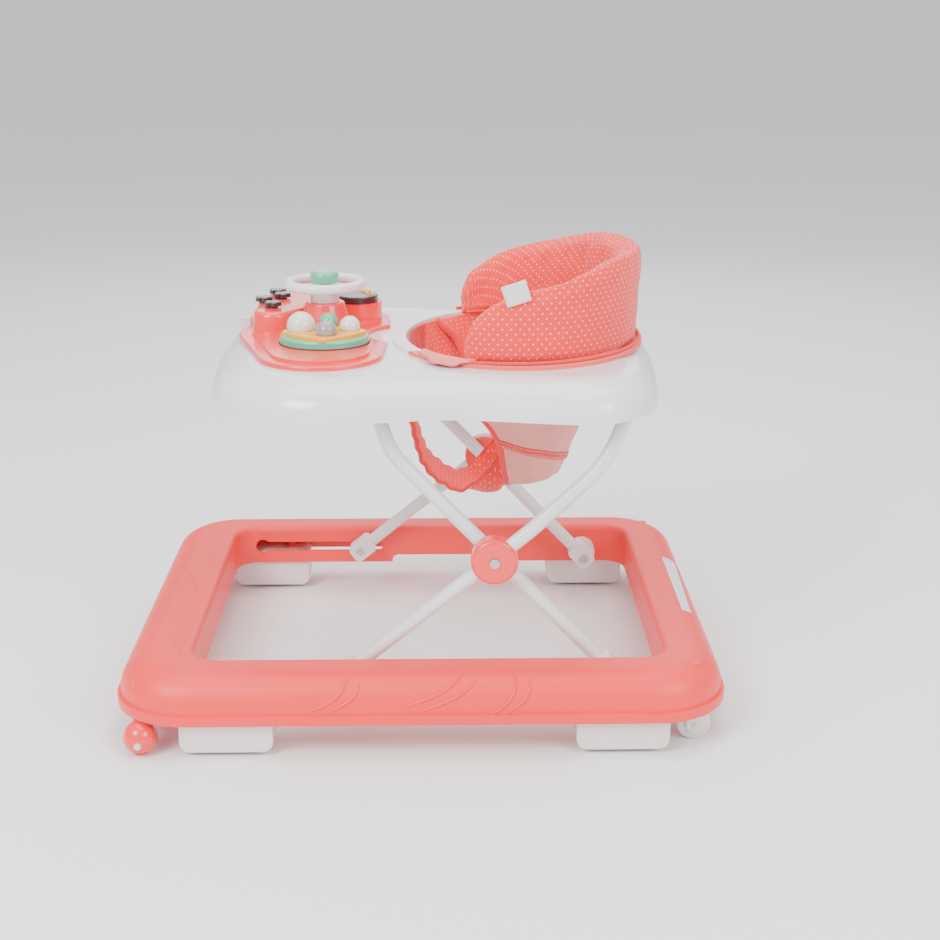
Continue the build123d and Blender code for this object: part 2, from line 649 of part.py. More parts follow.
def build_tray():
    """The moulded tray, hollow below, with the seat well and hangers for the linkage."""
    outside = tray_form(0, 0)
    with BuildPart() as hollow:
        add(tray_form(TRAY_WALL, -TRAY_WALL))
        with BuildSketch(Plane.XY.offset(HANGER_Z)):
            with Locations((rail_mid_x, -RAIL_Y), (rail_mid_x, RAIL_Y)):
                Rectangle(rail_span + 8, RAIL_WALL)
        extrude(amount=TRAY_RISE, mode=Mode.SUBTRACT)
        with BuildSketch(Plane.XY.offset(BLOCK_TOP)):
            with Locations((TRAY_PIVOT_X, -block_y), (TRAY_PIVOT_X, block_y)):
                Rectangle(BLOCK_LENGTH, block_wall)
        extrude(amount=TRAY_RISE, mode=Mode.SUBTRACT)
        with BuildSketch(Plane.XY.offset(HANGER_Z - 3)):
            with Locations((WELL_X, 0)):
                Ellipse(WELL_LENGTH / 2 + TRAY_WALL, WELL_WIDTH / 2 + TRAY_WALL)
        extrude(amount=TRAY_RISE, mode=Mode.SUBTRACT)
    with BuildPart() as tray_shell:
        add(outside)
        add(hollow.part, mode=Mode.SUBTRACT)
        with BuildSketch(Plane.XY.offset(TRAY_SKIRT_Z - 10)):
            with Locations((WELL_X, 0)):
                Ellipse(WELL_LENGTH / 2, WELL_WIDTH / 2)
        extrude(amount=2 * TRAY_RISE, mode=Mode.SUBTRACT)
        for x, y in tray_screw_spots():
            with BuildSketch(Plane.XY.offset(BLOCK_TOP - 1)):
                with Locations((x, y)):
                    Circle(1.4)
            extrude(amount=HANGER_Z + 5 - BLOCK_TOP + 1, mode=Mode.SUBTRACT)
    tray_shell.part.label = "tray_shell"
    export_step(tray_shell.part, "parts/tray_shell.step")
    return outside


def tray_screw_spots():
    """Places of the screws that hold the rails and pivot blocks up to the tray."""
    spots = []
    for hand in SIDES.values():
        for x in (RAIL_SLOT_FRONT + 35, rail_mid_x, RAIL_SLOT_REAR - 30):
            spots.append((x, hand * RAIL_Y))
        spots.append((TRAY_PIVOT_X + 6, hand * (block_y - 4)))
        spots.append((TRAY_PIVOT_X - 6, hand * (block_y - 4)))
    return spots


def build_tray_fittings():
    """Slide rails for the inner frame's bar, pivot blocks for the outer legs, screws."""
    slot_half = tube_r + RAIL_SLOT_CLEAR
    with BuildPart() as slide_rails:
        rail_bottom = BAR_Z - slot_half - 5
        for hand in SIDES.values():
            with BuildSketch(Plane.XZ.offset(-hand * (RAIL_Y - RAIL_WALL / 2))):
                with Locations((rail_mid_x, (rail_bottom + HANGER_Z) / 2)):
                    RectangleRounded(rail_span + 8, HANGER_Z - rail_bottom, 3)
                with Locations((rail_mid_x, BAR_Z)):
                    SlotOverall(rail_span, 2 * slot_half, mode=Mode.SUBTRACT)
            extrude(amount=-hand * RAIL_WALL)
        for x, y in tray_screw_spots():
            with BuildSketch(Plane.XY.offset(TRAY_SKIRT_Z)):
                with Locations((x, y)):
                    Circle(1.4)
            extrude(amount=40, mode=Mode.SUBTRACT)
    slide_rails.part.label = "slide_rails"
    export_step(slide_rails.part, "parts/slide_rails.step")

    with BuildPart() as rear_pivot_blocks:
        for hand in SIDES.values():
            with BuildSketch(Plane.XY.offset(TRAY_PIVOT_Z - 11)):
                with Locations((TRAY_PIVOT_X, hand * block_y)):
                    RectangleRounded(BLOCK_LENGTH, block_wall, 3)
            extrude(amount=BLOCK_TOP - TRAY_PIVOT_Z + 11)
        bore_across(TRAY_PIVOT_X, TRAY_PIVOT_Z, BOLT)
        for x, y in tray_screw_spots():
            with BuildSketch(Plane.XY.offset(TRAY_SKIRT_Z)):
                with Locations((x, y)):
                    Circle(1.4)
            extrude(amount=40, mode=Mode.SUBTRACT)
    rear_pivot_blocks.part.label = "rear_pivot_blocks"
    export_step(rear_pivot_blocks.part, "parts/rear_pivot_blocks.step")

    with BuildPart() as tray_screws:
        for x, y in tray_screw_spots():
            in_rail = abs(abs(y) - RAIL_Y) < 1
            foot = BAR_Z + slot_half if in_rail else TRAY_PIVOT_Z - 11
            with BuildSketch(Plane.XY.offset(foot)):
                with Locations((x, y)):
                    Circle(1.4)
            extrude(amount=HANGER_Z + 5 - foot)
            if not in_rail:
                with BuildSketch(Plane.XY.offset(foot - 1.6)):
                    with Locations((x, y)):
                        Circle(3)
                extrude(amount=1.6)
    tray_screws.part.label = "tray_screws"
    export_step(tray_screws.part, "parts/tray_screws.step")


def seat_oval(length, width, mode=Mode.ADD):
    """An oval about the middle of the seat back."""
    with Locations((SEAT_BACK_X, 0)):
        Ellipse(length / 2, width / 2, mode=mode)


def build_seat():
    """Hem ring, wrap-round back pad, hanging bowl and crotch strap of the fabric seat."""
    with BuildPart() as seat_rim:
        with BuildSketch(Plane.XY.offset(tray_top)):
            with Locations((WELL_X, 0)):
                Ellipse(WELL_LENGTH / 2 + RIM_BAND, WELL_WIDTH / 2 + RIM_BAND)
                Ellipse(WELL_LENGTH / 2 - 4, WELL_WIDTH / 2 - 4, mode=Mode.SUBTRACT)
        extrude(amount=RIM_HEIGHT)
    seat_rim.part.label = "seat_rim"
    export_step(seat_rim.part, "parts/seat_rim.step")

    slope = (SEAT_BACK_HIGH - SEAT_BACK_LOW) / (SEAT_BACK_X + SEAT_BACK_LENGTH / 2 - SEAT_WING_X)
    with BuildPart() as seat_back:
        with BuildSketch(Plane.XY.offset(rim_top)):
            seat_oval(SEAT_BACK_LENGTH, SEAT_BACK_WIDTH)
            seat_oval(SEAT_BACK_LENGTH - 2 * SEAT_BACK_PAD, SEAT_BACK_WIDTH - 2 * SEAT_BACK_PAD, Mode.SUBTRACT)
            with Locations((SEAT_WING_X - 200, 0)):
                Rectangle(400, 2 * SEAT_BACK_WIDTH, mode=Mode.SUBTRACT)
        extrude(amount=SEAT_BACK_HIGH - rim_top)
        cut = Plane(origin=(SEAT_WING_X, 0, SEAT_BACK_LOW), z_dir=(-slope, 0, 1))
        split(bisect_by=cut, keep=Keep.BOTTOM)
    seat_back.part.label = "seat_back"
    export_step(seat_back.part, "parts/seat_back.step")

    def bowl_form(wall):
        with BuildPart() as form:
            stations = [(tray_top, 113, 131, 156), (345, 116, 118, 140), (290, 122, 88, 104), (BOWL_FLOOR, 126, 52, 66)]
            for level, x, half_x, half_y in stations:
                with BuildSketch(Plane.XY.offset(level + (wall if level == BOWL_FLOOR else 0))):
                    with Locations((x, 0)):
                        Ellipse(half_x - wall, half_y - wall)
            loft()
        return form.part

    with BuildPart() as seat_bowl:
        add(bowl_form(0))
        add(bowl_form(BOWL_WALL), mode=Mode.SUBTRACT)
        with BuildSketch(Plane.XZ):
            with BuildLine():
                Polyline((-60, 380), (46, 380), (60, 340), (104, 252), (96, 200), (-60, 200), close=True)
            make_face()
        extrude(amount=200, both=True, mode=Mode.SUBTRACT)
    seat_bowl.part.label = "seat_bowl"
    export_step(seat_bowl.part, "parts/seat_bowl.step")

    with BuildPart() as crotch_strap:
        with BuildSketch(Plane.XZ):
            with BuildLine():
                FilletPolyline((-12, 379), (-10, 300), (8, 246), (46, 224), (88, 216), (101, 243), radius=18)
            trace(line_width=STRAP)
        extrude(amount=STRAP_WIDTH / 2, both=True)
    crotch_strap.part.label = "crotch_strap"
    export_step(crotch_strap.part, "parts/crotch_strap.step")


def console_plan(inset):
    """The console's plan: near and far lobes round the steering wheel, drawn in by inset."""
    with Locations((-112, -100)):
        Circle(71 - inset)
    with Locations((-126, 15)):
        Circle(90 - inset)
    with Locations((-104, 96)):
        Circle(64 - inset)
    make_hull()
    with Locations((-5, 5)):
        Circle(58 + inset, mode=Mode.SUBTRACT)


def pod_plan(inset):
    """The raised pod that carries the buttons, drawn in by inset."""
    with Locations((-176, 22)):
        Circle(26 - inset)
    with Locations((-172, 104)):
        Circle(30 - inset)
    with Locations((-130, 108)):
        Circle(28 - inset)
    make_hull()


button_spots = [(-180, 120), (-192, 70), (-172, 94), (-178, 38)]


def build_console(tray_outside):
    """The toy console's shell, seated on the tray, and what is fixed in it."""
    with BuildPart() as console_base:
        with BuildSketch(Plane.XY.offset(tray_top - CONSOLE_SKIRT)):
            console_plan(0)
        extrude(amount=CONSOLE_SKIRT + FLANGE)
        fillet(console_base.faces().sort_by(Axis.Z)[-1].edges(), radius=FLANGE / 2)
        with BuildSketch(Plane.XY.offset(tray_top)):
            console_plan(15)
        extrude(amount=DECK_Z - tray_top)
        with BuildSketch(Plane.XY.offset(tray_top)):
            pod_plan(0)
        extrude(amount=POD_Z - tray_top, taper=6)
        fillet(console_base.faces().sort_by(Axis.Z)[-1].edges(), radius=6)
        with BuildSketch(Plane.XY.offset(tray_top)):
            with Locations((DIAL_X, DIAL_Y)):
                Circle(DIAL_POD_D / 2)
        extrude(amount=DIAL_POD_Z - tray_top)
        with BuildSketch(Plane.XY.offset(DECK_Z)):
            with Locations((STEER_X, STEER_Y)):
                Circle(CONE_FOOT_D / 2 + 0.5)
        extrude(amount=40, mode=Mode.SUBTRACT)
        add(tray_outside, mode=Mode.SUBTRACT)
        with BuildSketch(Plane.XY.offset(tray_top - 20)):
            pod_plan(CONSOLE_WALL + 3)
        extrude(amount=POD_Z - CONSOLE_WALL - tray_top + 20, mode=Mode.SUBTRACT)
        with BuildSketch(Plane.XY.offset(tray_top - 20)):
            with Locations((DIAL_X, DIAL_Y)):
                Circle(DIAL_POD_D / 2 - CONSOLE_WALL)
        extrude(amount=DIAL_POD_Z - CONSOLE_WALL - tray_top + 20, mode=Mode.SUBTRACT)
        with BuildSketch(Plane.XY.offset(tray_top - 20)):
            with Locations((BEAD_X, BEAD_Y)):
                Ellipse(BEAD_BASE_LENGTH / 2 - 8, BEAD_BASE_WIDTH / 2 - 8)
        extrude(amount=DECK_Z - CONSOLE_WALL - tray_top + 20, mode=Mode.SUBTRACT)
        with BuildSketch(Plane.XY.offset(tray_top)):
            with Locations(*button_spots):
                Circle(BUTTON_STEM / 2 + 0.4)
            with Locations((DIAL_X, DIAL_Y)):
                Circle(5 + RUNNING_GAP)
            with Locations((STEER_X, STEER_Y)):
                Circle(STEER_STEM / 2 + 1)
        extrude(amount=POD_Z, mode=Mode.SUBTRACT)
    console_base.part.label = "console_base"
    export_step(console_base.part, "parts/console_base.step")

    with BuildPart() as steering_cone:
        with BuildSketch(Plane.XY.offset(DECK_Z)):
            with Locations((STEER_X, STEER_Y)):
                Circle(CONE_FOOT_D / 2)
        with BuildSketch(Plane.XY.offset(CONE_TOP)):
            with Locations((STEER_X, STEER_Y)):
                Circle(CONE_NECK_D / 2)
        loft()
        fillet(steering_cone.faces().sort_by(Axis.Z)[-1].edges(), radius=3)
        with BuildSketch(Plane.XY.offset(DECK_Z)):
            with Locations((STEER_X, STEER_Y)):
                Circle(STEER_STEM / 2 + RUNNING_GAP)
        extrude(amount=CONE_TOP - DECK_Z, mode=Mode.SUBTRACT)
    steering_cone.part.label = "steering_cone"
    export_step(steering_cone.part, "parts/steering_cone.step")

    with BuildPart() as release_tab:
        with BuildSketch(Plane.XY.offset(tray_top - 2)):
            with Locations((-214, 70)):
                RectangleRounded(14, 14, 2.5)
        extrude(amount=15)
        fillet(release_tab.faces().sort_by(Axis.Z)[-1].edges(), radius=2)
        with BuildSketch(Plane.XY.offset(tray_top - CONSOLE_SKIRT)):
            console_plan(0)
        extrude(amount=3 * CONSOLE_SKIRT, mode=Mode.SUBTRACT)
    release_tab.part.label = "release_tab"
    export_step(release_tab.part, "parts/release_tab.step")


def build_electronics():
    """What the console hides: battery box, circuit board and speaker."""
    with BuildPart() as battery_box:
        with BuildSketch(Plane.XY.offset(tray_top + 0.2)):
            with Locations((-173, 62)):
                RectangleRounded(24, 58, 3)
        extrude(amount=14)
    battery_box.part.label = "battery_box"
    export_step(battery_box.part, "parts/battery_box.step")

    with BuildPart() as circuit_board:
        with BuildSketch(Plane.XY.offset(tray_top + 15.4)):
            with Locations((-174, 68)):
                Rectangle(30, 76)
        extrude(amount=1.6)
    circuit_board.part.label = "circuit_board"
    export_step(circuit_board.part, "parts/circuit_board.step")

    with BuildPart() as speaker:
        with BuildSketch(Plane.XY.offset(tray_top + 0.2)):
            with Locations((BEAD_X, BEAD_Y)):
                Circle(20)
        extrude(amount=4.6)
    speaker.part.label = "speaker"
    export_step(speaker.part, "parts/speaker.step")


def build_steering_wheel():
    """The toy steering wheel with its column, and the sprung button in its middle."""
    wheel_top = WHEEL_Z + WHEEL_THICK
    with BuildPart() as steering_wheel:
        with BuildSketch(Plane.XY.offset(WHEEL_Z)):
            with Locations((STEER_X, STEER_Y)):
                Circle(WHEEL_D / 2)
                Circle(WHEEL_D / 2 - WHEEL_RIM, mode=Mode.SUBTRACT)
        extrude(amount=WHEEL_THICK)
        fillet(steering_wheel.edges().filter_by(GeomType.CIRCLE), radius=5)
        with BuildSketch(Plane.XY.offset(CONE_TOP + 0.4)):
            with Locations((STEER_X, STEER_Y)):
                Circle(COLUMN_D / 2)
        extrude(amount=HORN_Z - 3 - CONE_TOP - 0.4)
        with BuildSketch(Plane.XY.offset(WHEEL_Z)):
            for turn in (90, 210, 330):
                with Locations(Location((STEER_X, STEER_Y), turn)):
                    with Locations((WHEEL_D / 4, 0)):
                        Rectangle(WHEEL_D / 2 - WHEEL_RIM, 13)
        extrude(amount=HORN_Z - 3 - WHEEL_Z)
        with BuildSketch(Plane.XY.offset(DECK_Z + 1)):
            with Locations((STEER_X, STEER_Y)):
                Circle(STEER_STEM / 2)
        extrude(amount=CONE_TOP - DECK_Z)
        with BuildSketch(Plane.XY.offset(WHEEL_Z - 5)):
            with Locations((STEER_X, STEER_Y)):
                Circle(5.4)
        extrude(amount=wheel_top, mode=Mode.SUBTRACT)
    steering_wheel.part.label = "steering_wheel"
    export_step(steering_wheel.part, "parts/steering_wheel.step")

    with BuildPart() as horn_button:
        with BuildSketch(Plane.XY.offset(HORN_Z)):
            with Locations((STEER_X, STEER_Y)):
                Circle(HORN_D / 2)
        extrude(amount=HORN_TOP - HORN_Z)
        fillet(horn_button.faces().sort_by(Axis.Z)[-1].edges(), radius=6)
        with BuildSketch(Plane.XY.offset(HORN_Z)):
            with Locations((STEER_X, STEER_Y)):
                Circle(5)
        extrude(amount=-9)
    horn_button.part.label = "horn_button"
    export_step(horn_button.part, "parts/horn_button.step")


bead_top = DECK_Z + BEAD_BASE_H
bead_sizes = {"large": 33.0, "green": 22.0, "grey": 24.0, "small": 23.5}
bead_spots = {"large": (-27, 8), "green": (3, 29), "grey": (4, -20), "small": (29, 6)}
bead_rise = 4.0


def build_bead_toy():
    """Four spinning balls on pins, held in a star frame on an oval base."""
    with BuildPart() as bead_base:
        with BuildSketch(Plane.XY.offset(DECK_Z)):
            with Locations((BEAD_X, BEAD_Y)):
                Ellipse(BEAD_BASE_LENGTH / 2, BEAD_BASE_WIDTH / 2)
        extrude(amount=BEAD_BASE_H)
        fillet(bead_base.faces().sort_by(Axis.Z)[-1].edges(), radius=3)
        for name, (dx, dy) in bead_spots.items():
            centre = (BEAD_X + dx, BEAD_Y + dy, bead_top + BEAD_FRAME_H + bead_rise)
            with Locations(centre):
                Sphere(bead_sizes[name] / 2 + BEAD_GAP, mode=Mode.SUBTRACT)
        for dx, dy in bead_spots.values():
            with BuildSketch(Plane.XY.offset(DECK_Z)):
                with Locations((BEAD_X + dx, BEAD_Y + dy)):
                    Circle(BEAD_PIN / 2)
            extrude(amount=BEAD_BASE_H, mode=Mode.SUBTRACT)
    bead_base.part.label = "bead_base"
    export_step(bead_base.part, "parts/bead_base.step")

    with BuildPart() as bead_frame:
        reach_x = BEAD_BASE_LENGTH / 2 - 3
        reach_y = BEAD_BASE_WIDTH / 2 - 1
        tips = [(reach_x, 0), (0, reach_y), (-reach_x, 0), (0, -reach_y)]
        with BuildSketch(Plane.XY.offset(bead_top)):
            with Locations((BEAD_X, BEAD_Y)):
                Ellipse(reach_x - 6, reach_y - 8)
            with Locations(*[(BEAD_X + x * 0.86, BEAD_Y + y * 0.86) for x, y in tips]):
                Circle(7)
            make_hull()
        extrude(amount=BEAD_FRAME_H)
        fillet(bead_frame.faces().sort_by(Axis.Z)[-1].edges(), radius=1.5)
        for name, (dx, dy) in bead_spots.items():
            centre = (BEAD_X + dx, BEAD_Y + dy, bead_top + BEAD_FRAME_H + bead_rise)
            with Locations(centre):
                Sphere(bead_sizes[name] / 2 + BEAD_GAP, mode=Mode.SUBTRACT)
        for dx, dy in bead_spots.values():
            with BuildSketch(Plane.XY.offset(DECK_Z)):
                with Locations((BEAD_X + dx, BEAD_Y + dy)):
                    Circle(BEAD_PIN / 2)
            extrude(amount=40, mode=Mode.SUBTRACT)
    bead_frame.part.label = "bead_frame"
    export_step(bead_frame.part, "parts/bead_frame.step")

    for name, (dx, dy) in bead_spots.items():
        x = BEAD_X + dx
        y = BEAD_Y + dy
        z = bead_top + BEAD_FRAME_H + bead_rise
        with BuildPart() as bead:
            with Locations((x, y, z)):
                Sphere(bead_sizes[name] / 2)
            with BuildSketch(Plane.XY.offset(z - bead_sizes[name])):
                with Locations((x, y)):
                    Circle(BEAD_PIN / 2 + RUNNING_GAP)
            extrude(amount=bead_sizes[name] + 3, mode=Mode.SUBTRACT)
        bead.part.label = f"bead_{name}"
        export_step(bead.part, f"parts/bead_{name}.step")

    with BuildPart() as bead_pins:
        for dx, dy in bead_spots.values():
            with BuildSketch(Plane.XY.offset(DECK_Z)):
                with Locations((BEAD_X + dx, BEAD_Y + dy)):
                    Circle(BEAD_PIN / 2)
            extrude(amount=BEAD_BASE_H + BEAD_FRAME_H + bead_rise + 2.5)
    bead_pins.part.label = "bead_pins"
    export_step(bead_pins.part, "parts/bead_pins.step")


def build_controls():
    """The turning dial and the four flower-shaped buttons."""
    with BuildPart() as dial_disc:
        with BuildSketch(Plane.XY.offset(DIAL_POD_Z + 0.4)):
            with Locations((DIAL_X, DIAL_Y)):
                Circle(DIAL_D / 2)
        extrude(amount=DIAL_H)
        fillet(dial_disc.faces().sort_by(Axis.Z)[-1].edges(), radius=2)
        with BuildSketch(Plane.XY.offset(DIAL_POD_Z + 0.4)):
            with Locations((DIAL_X, DIAL_Y)):
                Circle(5)
        extrude(amount=-9)
    dial_disc.part.label = "dial_disc"
    export_step(dial_disc.part, "parts/dial_disc.step")

    cap_z = POD_Z + BUTTON_TRAVEL + 0.4
    for number, (x, y) in enumerate(button_spots, start=1):
        with BuildPart() as toy_button:
            with BuildSketch(Plane.XY.offset(cap_z)):
                with Locations((x, y)):
                    Circle(BUTTON_D / 3)
                    with PolarLocations(BUTTON_D / 3.4, 5):
                        Circle(BUTTON_D / 5.2)
            extrude(amount=BUTTON_H)
            fillet(toy_button.faces().sort_by(Axis.Z)[-1].edges(), radius=1.4)
            with BuildSketch(Plane.XY.offset(cap_z)):
                with Locations((x, y)):
                    Circle(BUTTON_STEM / 2)
            extrude(amount=-(cap_z - tray_top - 19))
        toy_button.part.label = f"toy_button_{number}"
        export_step(toy_button.part, f"parts/toy_button_{number}.step")


build_base_ring()
build_stop_pads()
build_casters()
build_rear_wheels()
build_inner_frame()
build_outer_legs()
build_pivots()
tray_outside = build_tray()
build_tray_fittings()
build_seat()
build_console(tray_outside)
build_electronics()
build_steering_wheel()
build_bead_toy()
build_controls()
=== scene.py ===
"""Looks of a folding baby walker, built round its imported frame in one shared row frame."""

import json
import logging
import math
from dataclasses import dataclass, field
from enum import Enum
from typing import Iterable, Sequence

import bmesh
import bpy
import numpy as np
from mathutils import Matrix, Vector
from mathutils.bvhtree import BVHTree

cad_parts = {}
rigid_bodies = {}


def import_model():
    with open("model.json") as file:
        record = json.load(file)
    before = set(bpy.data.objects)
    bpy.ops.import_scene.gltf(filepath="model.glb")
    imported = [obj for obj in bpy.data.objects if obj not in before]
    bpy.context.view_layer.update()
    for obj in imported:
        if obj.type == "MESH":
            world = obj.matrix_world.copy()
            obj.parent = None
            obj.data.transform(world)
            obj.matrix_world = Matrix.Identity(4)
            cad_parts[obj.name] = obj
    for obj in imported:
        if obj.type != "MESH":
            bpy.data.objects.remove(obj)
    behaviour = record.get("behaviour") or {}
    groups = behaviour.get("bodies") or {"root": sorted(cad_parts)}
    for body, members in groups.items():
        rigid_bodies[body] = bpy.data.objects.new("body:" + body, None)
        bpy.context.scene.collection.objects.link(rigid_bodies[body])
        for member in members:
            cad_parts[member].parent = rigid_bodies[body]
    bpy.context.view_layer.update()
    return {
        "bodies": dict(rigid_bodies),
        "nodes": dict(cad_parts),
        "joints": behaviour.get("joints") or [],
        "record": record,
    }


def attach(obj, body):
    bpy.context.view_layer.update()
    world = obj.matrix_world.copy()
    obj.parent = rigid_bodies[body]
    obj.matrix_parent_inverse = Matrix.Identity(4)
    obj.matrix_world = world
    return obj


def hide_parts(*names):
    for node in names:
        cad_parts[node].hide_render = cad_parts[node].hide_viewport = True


log = logging.getLogger("walker")
MM = 0.001
Colour = tuple[float, float, float]


# ---------------------------------------------------------------- node helpers


class Sheet:
    """A node tree being drawn: adds nodes, links them and remembers the tree."""

    def __init__(self, tree: bpy.types.NodeTree) -> None:
        """Starts on an existing tree."""
        self.tree = tree

    def add(self, kind: str, inputs: dict | None = None, **settings: object) -> bpy.types.Node:
        """Adds one node.

        Args:
            kind: the node's Blender type.
            inputs: socket name or number to a value or to another node's output socket.
            settings: properties set on the node before its inputs.

        Returns:
            The new node.
        """
        node = self.tree.nodes.new(kind)
        for key, value in settings.items():
            setattr(node, key, value)
        for key, value in (inputs or {}).items():
            if isinstance(value, bpy.types.NodeSocket):
                self.tree.links.new(value, node.inputs[key])
            else:
                node.inputs[key].default_value = value
        return node

    def math(self, operation: str, *values: object) -> bpy.types.NodeSocket:
        """Adds a Math node over values or sockets and returns its output."""
        node = self.add("ShaderNodeMath", dict(enumerate(values)), operation=operation)
        return node.outputs[0]

    def vector(self, operation: str, *values: object, output: str = "Vector") -> bpy.types.NodeSocket:
        """Adds a Vector Math node and returns one of its outputs."""
        node = self.add("ShaderNodeVectorMath", dict(enumerate(values)), operation=operation)
        return node.outputs[output]

    def blend(self, factor: object, first: object, second: object) -> bpy.types.NodeSocket:
        """Mixes two colours and returns the result."""
        sides = {0: factor, 6: first, 7: second}
        return self.add("ShaderNodeMix", sides, data_type="RGBA", blend_type="MIX").outputs[2]

    def link(self, source: bpy.types.NodeSocket, target: bpy.types.NodeSocket) -> None:
        """Joins an output to an input."""
        self.tree.links.new(source, target)


def opaque(colour: Colour) -> tuple[float, float, float, float]:
    """The colour with full alpha."""
    return (*colour, 1.0)


class Effects:
    """Shader groups that several finishes share, each built once."""

    def __init__(self) -> None:
        """Builds every shared group."""
        self.moulded = self._moulded()
        self.dots = self._dots()
        self.weave = self._weave()
        self.creases = self._creases()

    @staticmethod
    def _group(
        name: str, inputs: Iterable[tuple], outputs: Iterable[tuple]
    ) -> tuple[bpy.types.NodeTree, Sheet]:
        """Starts a shader group with named sockets.

        Args:
            name: the group's name.
            inputs: socket name, type and default for each input.
            outputs: socket name and type for each output.

        Returns:
            The group and a Sheet on it.
        """
        tree = bpy.data.node_groups.new(name, "ShaderNodeTree")
        for socket, kind, default in inputs:
            made = tree.interface.new_socket(socket, in_out="INPUT", socket_type=kind)
            if default is not None:
                made.default_value = default
        for socket, kind in outputs:
            tree.interface.new_socket(socket, in_out="OUTPUT", socket_type=kind)
        return tree, Sheet(tree)

    def _moulded(self) -> bpy.types.NodeTree:
        """Moulded plastic: mottled colour, fine spark grain, faint scuffs and flow."""
        tree, sheet = self._group(
            "Moulded surface",
            [
                ("Vector", "NodeSocketVector", None),
                ("Colour", "NodeSocketColor", (0.8, 0.8, 0.8, 1.0)),
                ("Shade", "NodeSocketColor", (0.7, 0.7, 0.7, 1.0)),
                ("Grain Size", "NodeSocketFloat", 0.8),
                ("Roughness", "NodeSocketFloat", 0.4),
                ("Scuffs", "NodeSocketFloat", 0.1),
            ],
            [("Colour", "NodeSocketColor"), ("Roughness", "NodeSocketFloat"), ("Height", "NodeSocketFloat")],
        )
        given = sheet.add("NodeGroupInput").outputs
        flow = sheet.add("ShaderNodeTexNoise", {"Vector": given["Vector"], "Scale": 9.0, "Detail": 3.0})
        mottle = sheet.add("ShaderNodeTexNoise", {"Vector": given["Vector"], "Scale": 55.0, "Detail": 5.0})
        cloud = sheet.math("MULTIPLY_ADD", mottle.outputs["Fac"], 0.4, flow.outputs["Fac"])
        cloud = sheet.math("SUBTRACT", cloud, 0.55)
        tint = sheet.blend(cloud, given["Colour"], given["Shade"])
        fine = sheet.math("DIVIDE", 1000.0, given["Grain Size"])
        grain = sheet.add("ShaderNodeTexNoise", {"Vector": given["Vector"], "Scale": fine, "Detail": 2.0})
        stretch = sheet.add("ShaderNodeMapping", {"Vector": given["Vector"], "Scale": (14.0, 260.0, 120.0)})
        scratch = sheet.add("ShaderNodeTexNoise", {"Vector": stretch.outputs[0], "Scale": 1.0, "Detail": 6.0})
        marks = sheet.add(
            "ShaderNodeMapRange",
            {"Value": scratch.outputs["Fac"], "From Min": 0.62, "From Max": 0.72},
        )
        worn = sheet.math("MULTIPLY", marks.outputs["Result"], given["Scuffs"])
        rough = sheet.math("MULTIPLY_ADD", grain.outputs["Fac"], 0.08, given["Roughness"])
        rough = sheet.math("ADD", rough, worn)
        height = sheet.math("MULTIPLY_ADD", worn, -0.6, grain.outputs["Fac"])
        result = sheet.add("NodeGroupOutput").inputs
        sheet.link(tint, result["Colour"])
        sheet.link(rough, result["Roughness"])
        sheet.link(height, result["Height"])
        return tree

    def _dots(self) -> bpy.types.NodeTree:
        """Small printed dots on a staggered grid, as a mask."""
        tree, sheet = self._group(
            "Printed dots",
            [
                ("Vector", "NodeSocketVector", None),
                ("Cell", "NodeSocketVector", (0.0088, 0.0112, 1.0)),
                ("Radius", "NodeSocketFloat", 0.0012),
            ],
            [("Mask", "NodeSocketFloat")],
        )
        given = sheet.add("NodeGroupInput").outputs
        place = sheet.vector("DIVIDE", given["Vector"], given["Cell"])
        reach = []
        for shift in ((0.0, 0.0, 0.0), (0.5, 0.5, 0.0)):
            part = sheet.vector("FRACTION", sheet.vector("ADD", place, shift))
            offset = sheet.vector("SUBTRACT", part, (0.5, 0.5, 0.0))
            flat = sheet.vector("MULTIPLY", sheet.vector("MULTIPLY", offset, given["Cell"]), (1.0, 1.0, 0.0))
            reach.append(sheet.vector("LENGTH", flat, output="Value"))
        near = sheet.math("MINIMUM", *reach)
        wobble = sheet.add("ShaderNodeTexNoise", {"Vector": given["Vector"], "Scale": 900.0})
        ragged = sheet.math("MULTIPLY_ADD", wobble.outputs["Fac"], 0.0005, near)
        inner = sheet.math("ADD", given["Radius"], 0.0001)
        outer = sheet.math("ADD", given["Radius"], 0.0004)
        mask = sheet.add(
            "ShaderNodeMapRange",
            {"Value": ragged, "From Min": inner, "From Max": outer, "To Min": 1.0, "To Max": 0.0},
        )
        sheet.link(mask.outputs["Result"], sheet.add("NodeGroupOutput").inputs["Mask"])
        return tree

    def _weave(self) -> bpy.types.NodeTree:
        """Plain weave: warp over weft as a height, with slubs that vary the shade."""
        tree, sheet = self._group(
            "Plain weave",
            [("Vector", "NodeSocketVector", None), ("Thread", "NodeSocketFloat", 0.0005)],
            [("Height", "NodeSocketFloat"), ("Slub", "NodeSocketFloat")],
        )
        given = sheet.add("NodeGroupInput").outputs
        turn = sheet.math("DIVIDE", math.pi, given["Thread"])
        scaled = sheet.add("ShaderNodeVectorMath", {0: given["Vector"]}, operation="SCALE")
        sheet.link(turn, scaled.inputs["Scale"])
        parts = sheet.add("ShaderNodeSeparateXYZ", {0: scaled.outputs[0]})
        across = sheet.math("SINE", parts.outputs[0])
        along = sheet.math("SINE", parts.outputs[1])
        cross = sheet.math("MULTIPLY", across, along)
        slub = sheet.add("ShaderNodeTexNoise", {"Vector": given["Vector"], "Scale": 380.0, "Detail": 4.0})
        height = sheet.math("MULTIPLY_ADD", slub.outputs["Fac"], 0.8, cross)
        result = sheet.add("NodeGroupOutput").inputs
        sheet.link(height, result["Height"])
        sheet.link(slub.outputs["Fac"], result["Slub"])
        return tree

